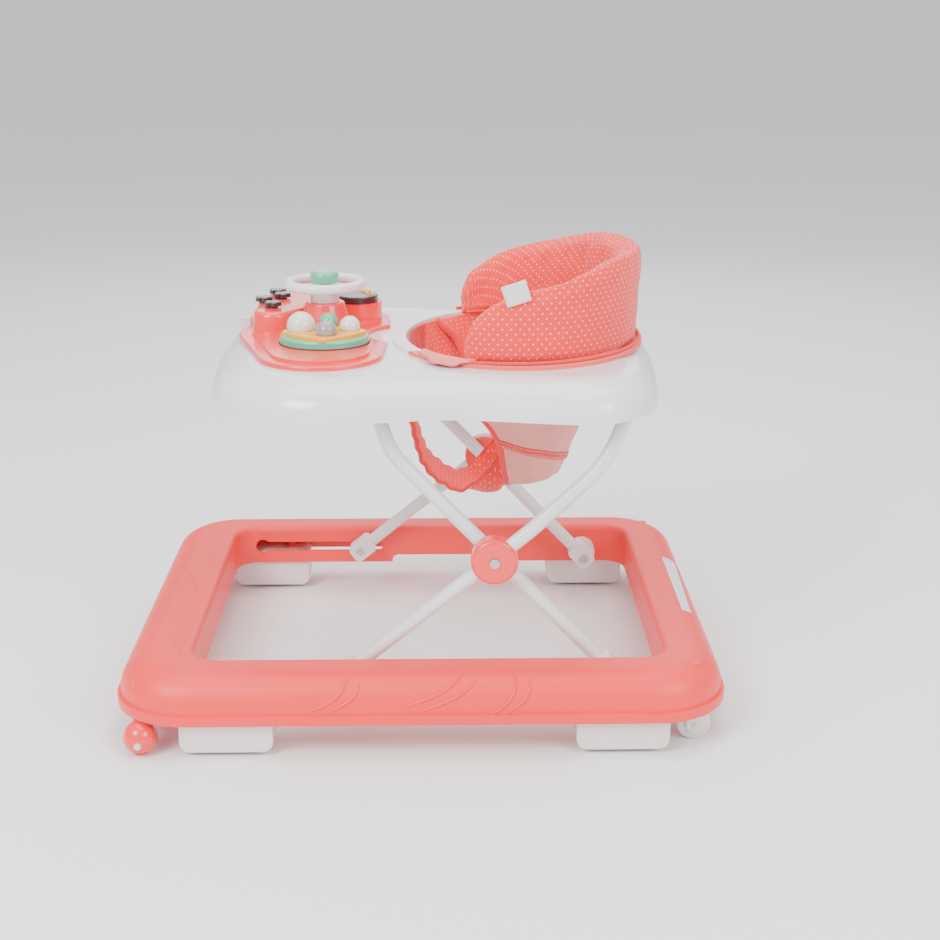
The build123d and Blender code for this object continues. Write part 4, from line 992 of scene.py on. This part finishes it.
@dataclass
class SeatTrim:
    """The piping, stitches and blank tag sewn to the seat back."""

    finishes: Finishes
    repeats: Repeats
    back: SeatBack
    foot_out: float = 14.2
    foot_height: float = 410.2
    inner_out: float = -13.6
    inner_height: float = 410.0
    hem_out: float = 3.4
    hem_height: float = 408.1
    samples: int = 160
    hem_samples: int = 260
    tag_middle: tuple[float, float, float] = (104.6, -166.0, 487.6)
    tag_size: tuple[float, float] = (27.5, 23.5)
    tag_turn: float = math.radians(18)

    def build(self) -> list[bpy.types.Object]:
        """Builds the outer and inner foot piping, the hem stitches and the tag."""
        edging = self.finishes["piping_fabric"]
        angles, _ = self.back.oval.even(self.back.limit, self.samples)
        foot = level_line(self.back.oval.at(angles, self.foot_out), self.foot_height)
        piping = self.repeats.cord("seat_foot_piping", [foot], edging, radius=0.0019, spacing=0.004)
        inner = level_line(self.back.oval.at(angles, self.inner_out), self.inner_height)
        lining = self.repeats.cord("seat_inner_piping", [inner], edging, radius=0.0015, spacing=0.004)
        round_angles = np.linspace(-math.pi, math.pi, self.hem_samples, endpoint=False)
        hem = level_line(HEM.at(round_angles, self.hem_out), self.hem_height)
        stitches = self.repeats.along(
            self.repeats.stitches, "hem_stitches", [hem], self.finishes["thread_fabric"], closed=True,
            spacing=0.0044, length=0.003, radius=0.00042,
        )
        return [piping, lining, stitches, self.tag()]

    def tag(self) -> bpy.types.Object:
        """A blank woven tag caught in the top seam on the left side."""
        across, high = self.tag_size
        turn = self.tag_turn
        rows, cuts = [], []
        for v in np.linspace(-0.5, 0.5, 9):
            row, cut = [], []
            for u in np.linspace(-0.5, 0.5, 11):
                x = across * u * math.cos(turn) - high * v * math.sin(turn)
                z = across * u * math.sin(turn) + high * v * math.cos(turn)
                bow = 1.1 * math.cos(math.pi * u) + 0.5 * math.sin(3 * v)
                middle = self.tag_middle
                row.append((middle[0] + x, middle[1] - bow - 0.012 * x * x / 4, middle[2] + z))
                cut.append((across * u, high * v))
            rows.append(row)
            cuts.append(cut)
        mesh = grid_mesh("seat_tag", np.array(rows) * MM, np.array(cuts) * MM)
        piece = new_piece("seat_tag", mesh, self.finishes["tag_fabric"])
        return add_wall(piece, 0.0009)


@dataclass
class SeatBowl:
    """The hanging bowl of the seat: dotted inside, plain lining outside, open for the legs."""

    finishes: Finishes
    repeats: Repeats
    stations: tuple[tuple[float, float, float, float], ...] = (
        (236.0, 112.0, 30.0, 44.0),
        (250.0, 114.0, 52.0, 64.0),
        (290.0, 112.0, 70.0, 92.0),
        (345.0, 111.0, 96.0, 128.0),
        (404.0, 113.0, 127.0, 152.0),
    )
    front: tuple[tuple[float, float], ...] = (
        (236, 104), (252, 99), (300, 91), (323, 79), (343, 62), (380, 42), (404, 18),
    )
    floor_middle: tuple[float, float, float] = (112.0, 0.0, 233.0)
    wall_low: float = 250.0
    wall_rows: int = 32
    floor_rows: int = 12
    columns: int = 97
    band_low: float = 262.0
    band_rise: float = 40.0
    band_half: float = 5.2

    def spot(self, share: float, z: float, out: float = 0.0) -> np.ndarray:
        """A place on the bowl.

        Args:
            share: from -1 at the left front edge, through 0 at the rear, to 1.
            z: height in millimetres.
            out: how far outside the cloth, in millimetres.

        Returns:
            The place in millimetres.
        """
        levels = [s[0] for s in self.stations]
        middle, length, width = (np.interp(z, levels, [s[k] for s in self.stations]) for k in (1, 2, 3))
        cut = np.interp(z, *zip(*self.front))
        limit = math.acos(max(-1.0, min(1.0, (cut - middle) / length)))
        angle = share * limit
        fold = 1.9 * math.sin(7 * angle + 0.02 * z) * math.sin(math.pi * min(1, max(0, (404 - z) / 150)))
        fold += 1.2 * math.sin(13 * angle + z / 21)
        sag = Oval(middle, length, width).at(angle, out + fold)
        return np.array([sag[0], sag[1], z])

    def build(self) -> list[bpy.types.Object]:
        """Builds the bowl, its edge piping and its double-stitched band."""
        rows, cuts = [], []
        shares = np.linspace(-1, 1, self.columns)
        for z in np.linspace(405.0, self.wall_low, self.wall_rows):
            rows.append([self.spot(s, z) for s in shares])
        low = np.array(rows[-1])
        middle = np.array(self.floor_middle)
        sag = self.wall_low - middle[2]
        for turn in np.linspace(0, math.pi / 2, self.floor_rows + 1)[1:]:
            reach = max(math.cos(turn), 0.01)
            flat = middle + (low - middle) * [reach, reach, 0]
            flat[:, 2] = self.wall_low - sag * math.sin(turn)
            rows.append(flat)
        points = np.array([np.array(r) for r in rows])
        down = run_along(points[:, self.columns // 2])
        for row, depth in zip(points, down):
            run = run_along(row)
            cuts.append(np.column_stack([run - run[-1] / 2, np.full(len(run), depth)]))
        mesh = grid_mesh("seat_bowl_cloth", points * MM, np.array(cuts) * MM)
        bowl = new_piece("seat_bowl_cloth", mesh, self.finishes["seat_fabric"])
        mesh.materials.append(self.finishes["lining_fabric"])
        self.face_in(mesh)
        add_wall(bowl, 0.0022, offset=-1.0, back=1)
        edges = [points[:, 0] * MM, points[:, -1] * MM]
        edging = self.finishes["piping_fabric"]
        piping = self.repeats.cord("bowl_edge_piping", edges, edging, radius=0.0042, spacing=0.005)
        return [bowl, piping, *self.band()]

    @staticmethod
    def face_in(mesh: bpy.types.Mesh) -> None:
        """Turns the cloth so that its face looks into the bowl and its back outwards."""
        middle = Vector((0.115, 0.0, 0.36))
        facing = sum((middle - face.center).dot(face.normal) * face.area for face in mesh.polygons)
        if facing < 0:
            mesh.flip_normals()
        mesh.update()

    def band(self) -> list[bpy.types.Object]:
        """The sewn band round the outside and its two rows of stitches."""
        shares = np.linspace(-1, 1, 150)
        level = self.band_low + self.band_rise * np.abs(shares) ** 1.3
        rows, cuts = [], []
        for offset in np.linspace(-self.band_half, self.band_half, 7):
            crown = 2.6 + 1.1 * (1 - (offset / self.band_half) ** 2)
            rows.append([self.spot(s, z + offset, crown) for s, z in zip(shares, level)])
            cuts.append([(s * 130, offset) for s in shares])
        mesh = grid_mesh("bowl_band", np.array(rows) * MM, np.array(cuts) * MM)
        band = new_piece("bowl_band", mesh, self.finishes["piping_fabric"])
        add_wall(band, 0.0014)
        paths = []
        for offset in (-3.1, 3.1):
            paths.append(np.array([self.spot(s, z + offset, 4.4) for s, z in zip(shares, level)]) * MM)
        stitches = self.repeats.along(
            self.repeats.stitches, "bowl_band_stitches", paths, self.finishes["thread_fabric"],
            spacing=0.0042, length=0.0028, radius=0.00045,
        )
        return [band, stitches]


@dataclass
class SeatApron:
    """The gathered cloth round the front of the well and the lining corner turned out over the hem."""

    finishes: Finishes
    repeats: Repeats
    well: Oval = field(default_factory=lambda: Oval(113.0, 127.5, 152.5))
    from_turn: float = math.radians(100)
    # plan X in millimetres ahead of which the well's front cloth wears the darker coral of painted shade
    painted_shade_from: float = 4.0
    top: float = 405.2
    hang: float = 343.0
    lean_in: float = 16.0
    columns: int = 150
    rows: int = 24

    def build(self) -> list[bpy.types.Object]:
        """Builds the gathered front cloth, its edge piping and the turned corner."""
        angles = np.linspace(self.from_turn, 2 * math.pi - self.from_turn, self.columns)
        rows, cuts = [], []
        low = self.hang + 4.0 * np.cos(angles * 6)
        run = run_along(self.well.at(angles))
        for share in np.linspace(0, 1, self.rows):
            z = self.top + (low - self.top) * share
            gather = 1.6 * share * np.sin(run / 3.4 + 1.5 * np.sin(run / 29)) - self.lean_in * share**1.5
            plan = self.well.at(angles, gather)
            rows.append(np.column_stack([plan, z]))
            cuts.append(np.column_stack([run, self.top - z]))
        mesh = grid_mesh("well_front_cloth", np.array(rows) * MM, np.array(cuts) * MM)
        cloth = new_piece("well_front_cloth", mesh, self.finishes["seat_fabric"])
        # the front faces of the cloth wear a darker coral: painted shade deep in the well
        mesh.materials.append(self.finishes["gather_fabric"])
        for face in mesh.polygons:
            face.material_index = int(face.center.x < self.painted_shade_from * MM)
        add_wall(cloth, 0.0016)
        edge = np.array(rows[-1]) * MM
        edging = self.finishes["piping_fabric"]
        piping = self.repeats.cord("well_front_piping", [edge], edging, radius=0.0019, spacing=0.004)
        return [cloth, piping, self.corner()]

    def corner(self) -> bpy.types.Object:
        """The corner of lining that is turned out over the hem on the left."""
        angles = np.radians(np.linspace(-143, -112, 34))
        swell = np.sin(np.linspace(0, math.pi, 34)) ** 0.7
        flap = 22.0 * swell * (0.75 + 0.25 * np.cos(angles * 9))
        rows, cuts = [], []
        for share in np.linspace(0, 1, 9):
            out = -10.0 + (10 + flap) * share
            lift = 408.9 + 2.4 * np.sin(share * math.pi)
            lift = lift + 0.7 * np.sin(angles * 40) * share - 2.0 * share * (out > 14)
            rows.append(np.column_stack([HEM.at(angles, out), lift]))
            cuts.append(np.column_stack([angles * 160, out]))
        mesh = grid_mesh("turned_lining", np.array(rows) * MM, np.array(cuts) * MM)
        piece = new_piece("turned_lining", mesh, self.finishes["hem_fabric"])
        return add_wall(piece, 0.0012, offset=1.0)


@dataclass
class CrotchStrap:
    """The padded strap between the child's legs, from the well's front to the bowl."""

    finishes: Finishes
    repeats: Repeats
    route: tuple[tuple[float, float, float], ...] = (
        (-11.0, 0, 378.0), (-12.0, 0, 335.0), (-9.0, 0, 298.0), (5.0, 0, 255.0),
        (33.0, 0, 231.0), (64.0, 0, 221.0), (88.0, 0, 219.0), (99.0, 0, 226.0),
    )
    half_width: float = 41.0
    half_thick: float = 2.6
    rows: int = 120
    around: int = 52

    def build(self) -> list[bpy.types.Object]:
        """Builds the strap and the seam cords along its edges."""
        middle = settle_path(self.route, self.rows)
        tangents = np.gradient(middle, axis=0)
        tangents /= np.linalg.norm(tangents, axis=1, keepdims=True)
        normals = np.column_stack([-tangents[:, 2], np.zeros(self.rows), tangents[:, 0]])
        run = np.linspace(0, run_along(middle)[-1], self.rows)
        rows, cuts = [], []
        edges: list[list[np.ndarray]] = [[], []]
        for i, (place, normal) in enumerate(zip(middle, normals)):
            scoop = np.clip((place[0] - 42) / 52, 0, 1)
            half = self.half_width + 1.8 * math.sin(run[i] / 4.4 + math.sin(run[i] / 17)) + 18 * scoop**1.6
            thin = self.half_thick * (1 if 3 < i < self.rows - 4 else 0.7)
            loop = rounded_loop(thin, -half, half, thin * 0.96, self.around)
            share = loop[:, 1] / half
            crown = 1 + 0.5 * (1 - share**2)
            pucker = 1.2 * np.sin(run[i] / 2.6 + 2 * share) * np.abs(share) ** 2
            lift = 58.0 * scoop**1.4 * np.abs(share) ** 2.2 + 1.6 * math.sin(run[i] / 9) * (1 - share**2)
            spots = place + normal * (loop[:, 0] * crown + pucker)[:, None] * np.sign(normal[2] or 1)
            spots[:, 1] = loop[:, 1] * (1 - 0.16 * scoop * share**2)
            spots[:, 2] += lift
            rows.append(spots)
            edges[0].append(spots[loop[:, 1].argmin()])
            edges[1].append(spots[loop[:, 1].argmax()])
            cuts.append(np.column_stack([run_round(loop), np.full(self.around + 1, run[i])]))
        mesh = grid_mesh("crotch_strap_pad", np.array(rows) * MM, np.array(cuts) * MM, wrap=True, caps=True)
        strap = new_piece("crotch_strap_pad", mesh, self.finishes["seat_fabric"])
        edging = self.finishes["piping_fabric"]
        sides = [np.array(edge) * MM for edge in edges]
        cords = self.repeats.cord("strap_edge_cords", sides, edging, radius=0.002, spacing=0.004)
        join = np.array([self.join_spot(rows[-1], share) for share in np.linspace(-1, 1, 60)]) * MM
        seam = self.repeats.cord("strap_join_piping", [join], edging, radius=0.0034, spacing=0.005)
        return [strap, cords, seam]

    @staticmethod
    def join_spot(end: np.ndarray, share: float) -> np.ndarray:
        """A place along the strap's rear end, from its left edge at -1 to its right at 1."""
        order = end[np.argsort(end[:, 1])]
        want = np.interp(share, (-1, 1), (order[0, 1], order[-1, 1]))
        return np.array([np.interp(want, order[:, 1], order[:, k]) for k in range(3)])


# ---------------------------------------------------------------- hard parts


@dataclass
class BaseRelief:
    """Raised flow lines, finger scoops and the blank label on the base."""

    finishes: Finishes
    repeats: Repeats
    wall: float = 286.0
    shoulder: float = 34.0
    spring: float = 58.0
    strokes: tuple[tuple[float, float, float, float], ...] = (
        (-122.0, 55.0, -80.0, 87.0), (-104.0, 54.0, -66.0, 84.0),
        (-22.0, 60.0, 46.0, 90.5), (-4.0, 55.0, 60.0, 86.0),
        (74.0, 50.0, 102.0, 89.0), (88.0, 50.0, 118.0, 87.0),
    )

    scoop_lines: tuple[tuple[tuple[float, float], tuple[float, float], float], ...] = (
        ((-322, 104), (-268, -54), 6), ((-290, -161), (-266, -213), 4),
    )
    scoop_lift: float = -0.8
    label_corner: tuple[float, float] = (309.0, 96.0)
    label_size: tuple[float, float] = (17.0, 184.0)
    label_taper: float = 6.0
    label_lift: float = 0.35

    def surface(self, z: float) -> float:
        """How far out the wall stands at a height, in millimetres."""
        rise = max(0.0, z - self.spring)
        return self.wall - self.shoulder + math.sqrt(max(self.shoulder**2 - rise**2, 0.0))

    def draped(self, ring: bpy.types.Object, plan: Sequence[tuple[float, float]], lift: float) -> np.ndarray:
        """A plan line laid on top of the base.

        Args:
            ring: the base's mesh object.
            plan: places seen from above, in millimetres.
            lift: how far above the surface, in millimetres.

        Returns:
            The places in metres.
        """
        tree = BVHTree.FromObject(ring, bpy.context.evaluated_depsgraph_get())
        laid = []
        for x, y in plan:
            hit, _, _, _ = tree.ray_cast(Vector((x * MM, y * MM, 0.3)), Vector((0, 0, -1)))
            if hit is not None:
                laid.append((hit.x, hit.y, hit.z + lift * MM))
        return np.array(laid)

    def label(self, ring: bpy.types.Object) -> bpy.types.Object:
        """A blank paper label on the rear rail."""
        x, y = self.label_corner
        wide, long = self.label_size
        steps = np.linspace(0, 1, 40)
        rows, cuts = [], []
        for across in np.linspace(0, 1, 8):
            plan = [(x + (wide - self.label_taper * t) * across, y - long * t) for t in steps]
            rows.append(self.draped(ring, plan, self.label_lift))
            cuts.append([(wide * MM * across, long * MM * t) for t in steps])
        mesh = grid_mesh("base_label", np.array(rows), np.array(cuts))
        return add_wall(new_piece("base_label", mesh, self.finishes["label_paper"]), 0.0003)

    def scoops(self, ring: bpy.types.Object) -> bpy.types.Object:
        """Raised edges of the two finger scoops on the front rail."""
        paths = []
        for start, end, bow in self.scoop_lines:
            turn = np.linspace(0, 1, 40)
            x = start[0] + (end[0] - start[0]) * turn + bow * np.sin(math.pi * turn)
            y = start[1] + (end[1] - start[1]) * turn
            paths.append(self.draped(ring, list(zip(x, y)), self.scoop_lift))
        shell = self.finishes["coral_base"]
        return self.repeats.cord("base_scoop_edges", paths, shell, radius=0.0019, taper=0.9, spacing=0.003)

    def build(self, ring: bpy.types.Object) -> list[bpy.types.Object]:
        """Builds the lines of both sides as one piece, the scoops and the label."""
        paths = []
        for hand in (-1, 1):
            for x0, z0, x1, z1 in self.strokes:
                line = []
                for t in np.linspace(0, 1, 26):
                    z = z0 + (z1 - z0) * t
                    x = x0 + (x1 - x0) * t + 9 * math.sin(math.pi * t)
                    line.append((x, hand * (self.surface(z) + 0.1), z))
                paths.append(np.array(line) * MM)
        shell = self.finishes["coral_base"]
        lines = self.repeats.cord("base_flow_lines", paths, shell, radius=0.0021, taper=0.85, spacing=0.003)
        return [lines, self.scoops(ring), self.label(ring)]


@dataclass
class ConsoleTrim:
    """Small lines that finish the toy console."""

    finishes: Finishes
    repeats: Repeats
    bead_middle: tuple[float, float] = (-110.0, -58.0)
    bead_half: tuple[float, float] = (51.0, 44.0)
    deck: float = 412.2
    dial_middle: tuple[float, float] = (-80.0, 94.0)
    dial_top: float = 439.5

    def build(self) -> dict[str, list[bpy.types.Object]]:
        """Builds a dark cord of painted shadow in the gap round the bead base, and the coloured mark on the
        dial.
        """
        turn = np.linspace(0, 2 * math.pi, 90, endpoint=False)
        gap = Oval(self.bead_middle[0], *self.bead_half).at(turn, 0.5) + [0, self.bead_middle[1]]
        gap = level_line(gap, self.deck)
        dark = self.finishes["gap_shadow"]
        shadow = self.repeats.cord("bead_base_gap", [gap], dark, closed=True, radius=0.0009, spacing=0.004)
        marks = []
        for reach, start, end in ((19.5, -0.6, 1.5), (13.0, -0.4, 1.2)):
            arc = np.linspace(start, end, 24)
            plan = self.dial_middle + reach * np.column_stack([np.cos(arc), np.sin(arc)])
            marks.append(level_line(plan, self.dial_top))
        yellow = self.finishes["yellow_plastic"]
        mark = self.repeats.cord("dial_mark", marks, yellow, radius=0.0022, taper=0.6, spacing=0.002)
        return {"tray": [shadow], "dial": [mark]}


@dataclass
class Studio:
    """Pale floor, soft lights and the camera."""

    eye: tuple[float, float, float] = (0.0245, -1.859, 0.806)
    forward: tuple[float, float, float] = (0.01716, 0.95651, -0.29119)
    right: tuple[float, float, float] = (0.99984, -0.01793, 0.0)
    up: tuple[float, float, float] = (0.00522, 0.29114, 0.95667)
    lens: float = 61.3

    def build(self) -> None:
        """Builds the whole studio."""
        self.floor()
        self.world()
        self.softbox("key", (-1.5, -1.9, 2.1), size=1.2, power=84.0)
        self.softbox("fill", (1.7, -1.9, 1.7), size=1.2, power=46.0)
        self.softbox("overhead", (0.1, 0.2, 2.6), size=2.4, power=60.0)
        self.softbox("back", (0.2, 2.4, 1.6), size=1.8, power=14.0)
        self.camera()

    @staticmethod
    def floor() -> None:
        """A wide pale floor."""
        material, sheet, where = start_material("studio_floor", Place.OBJECT)
        cloud = sheet.add("ShaderNodeTexNoise", {"Vector": where, "Scale": 2.0, "Detail": 2.0})
        colour = sheet.blend(cloud.outputs["Fac"], opaque((0.93, 0.93, 0.93)), opaque((0.9, 0.9, 0.9)))
        close_material(sheet, sheet.add("ShaderNodeBsdfPrincipled", {"Base Color": colour, "Roughness": 0.8}))
        mesh = bpy.data.meshes.new("studio_floor")
        mesh.from_pydata([(-40, -8, 0), (40, -8, 0), (40, 90, 0), (-40, 90, 0)], [], [(0, 1, 2, 3)])
        floor = new_piece("studio_floor", mesh, material)

    @staticmethod
    def world() -> None:
        """Even white surroundings."""
        world = bpy.data.worlds.new("studio")
        world.use_nodes = True
        world.node_tree.nodes["Background"].inputs[0].default_value = (1.0, 1.0, 1.0, 1.0)
        world.node_tree.nodes["Background"].inputs[1].default_value = 0.9
        bpy.context.scene.world = world

    @staticmethod
    def softbox(name: str, place: tuple[float, float, float], size: float, power: float) -> None:
        """A square soft light aimed at the walker."""
        lamp = bpy.data.lights.new(name, "AREA")
        lamp.shape = "SQUARE"
        lamp.size = size
        lamp.energy = power
        box = bpy.data.objects.new(name, lamp)
        box.location = place
        aim = Vector((0.0, 0.0, 0.25)) - Vector(place)
        box.rotation_euler = aim.to_track_quat("-Z", "Y").to_euler()
        bpy.context.scene.collection.objects.link(box)

    def camera(self) -> None:
        """The camera at the walker's left."""
        lens = bpy.data.cameras.new("camera")
        lens.lens = self.lens
        lens.sensor_width = 36.0
        lens.clip_end = 300.0
        holder = bpy.data.objects.new("camera", lens)
        axes = Matrix((self.right, self.up, tuple(-f for f in self.forward))).transposed()
        holder.matrix_world = Matrix.Translation(self.eye) @ axes.to_4x4()
        bpy.context.scene.collection.objects.link(holder)
        bpy.context.scene.camera = holder


SLOT_BY_NODE = {"seat_rim": "hem_band", "steering_wheel": "tray_white", "release_tab": "blush_plastic"}


def dress_nodes(frame: dict, finishes: Finishes) -> None:
    """Gives every carried-over CAD node its finish.

    Args:
        finishes: the walker's finishes.
    """
    slots = {part["node"]: part["material_slot"] for part in frame["record"]["subparts"]}
    for name, node in frame["nodes"].items():
        slot = SLOT_BY_NODE.get(name, slots[name])
        material = finishes[slot if slot in finishes.made else slots[name]]
        node.data.materials.clear()
        node.data.materials.append(material)
        log.info("%s wears %s", name, material.name)


def main() -> None:
    """Builds the walker's looks and its studio, piece by piece."""
    logging.basicConfig(level=logging.INFO, format="%(message)s")
    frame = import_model()
    finishes = Finishes()
    repeats = Repeats()
    dress_nodes(frame, finishes)

    back = SeatBack(finishes, repeats)
    pad = back.build()
    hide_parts("seat_back")
    ride_all("tray", "seat_fabric", pad)
    *seat_trim, tag = SeatTrim(finishes, repeats, back).build()
    ride_all("tray", "seat_fabric", *seat_trim, tag)

    bowl, *bowl_trim = SeatBowl(finishes, repeats).build()
    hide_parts("seat_bowl")
    ride_all("tray", "lining_fabric", bowl)
    ride_all("tray", "seat_fabric", *bowl_trim)

    cloth, cloth_edge, corner = SeatApron(finishes, repeats).build()
    ride_all("tray", "seat_fabric", cloth, cloth_edge, corner)

    strap, *strap_trim = CrotchStrap(finishes, repeats).build()
    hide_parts("crotch_strap")
    ride_all("tray", "seat_fabric", strap, *strap_trim)

    lines, scoops, label = BaseRelief(finishes, repeats).build(frame["nodes"]["base_ring"])
    ride_all("base", "coral_base", lines, scoops)
    ride_all("base", "blush_plastic", label)
    # the tray's piece from the console trim is the dark cord of painted shadow round the bead base, not dark
    # plastic
    for body, pieces in ConsoleTrim(finishes, repeats).build().items():
        ride_all(body, "yellow_plastic" if body == "dial" else "dark_plastic", *pieces)

    Studio().build()


if __name__ == "__main__":
    main()
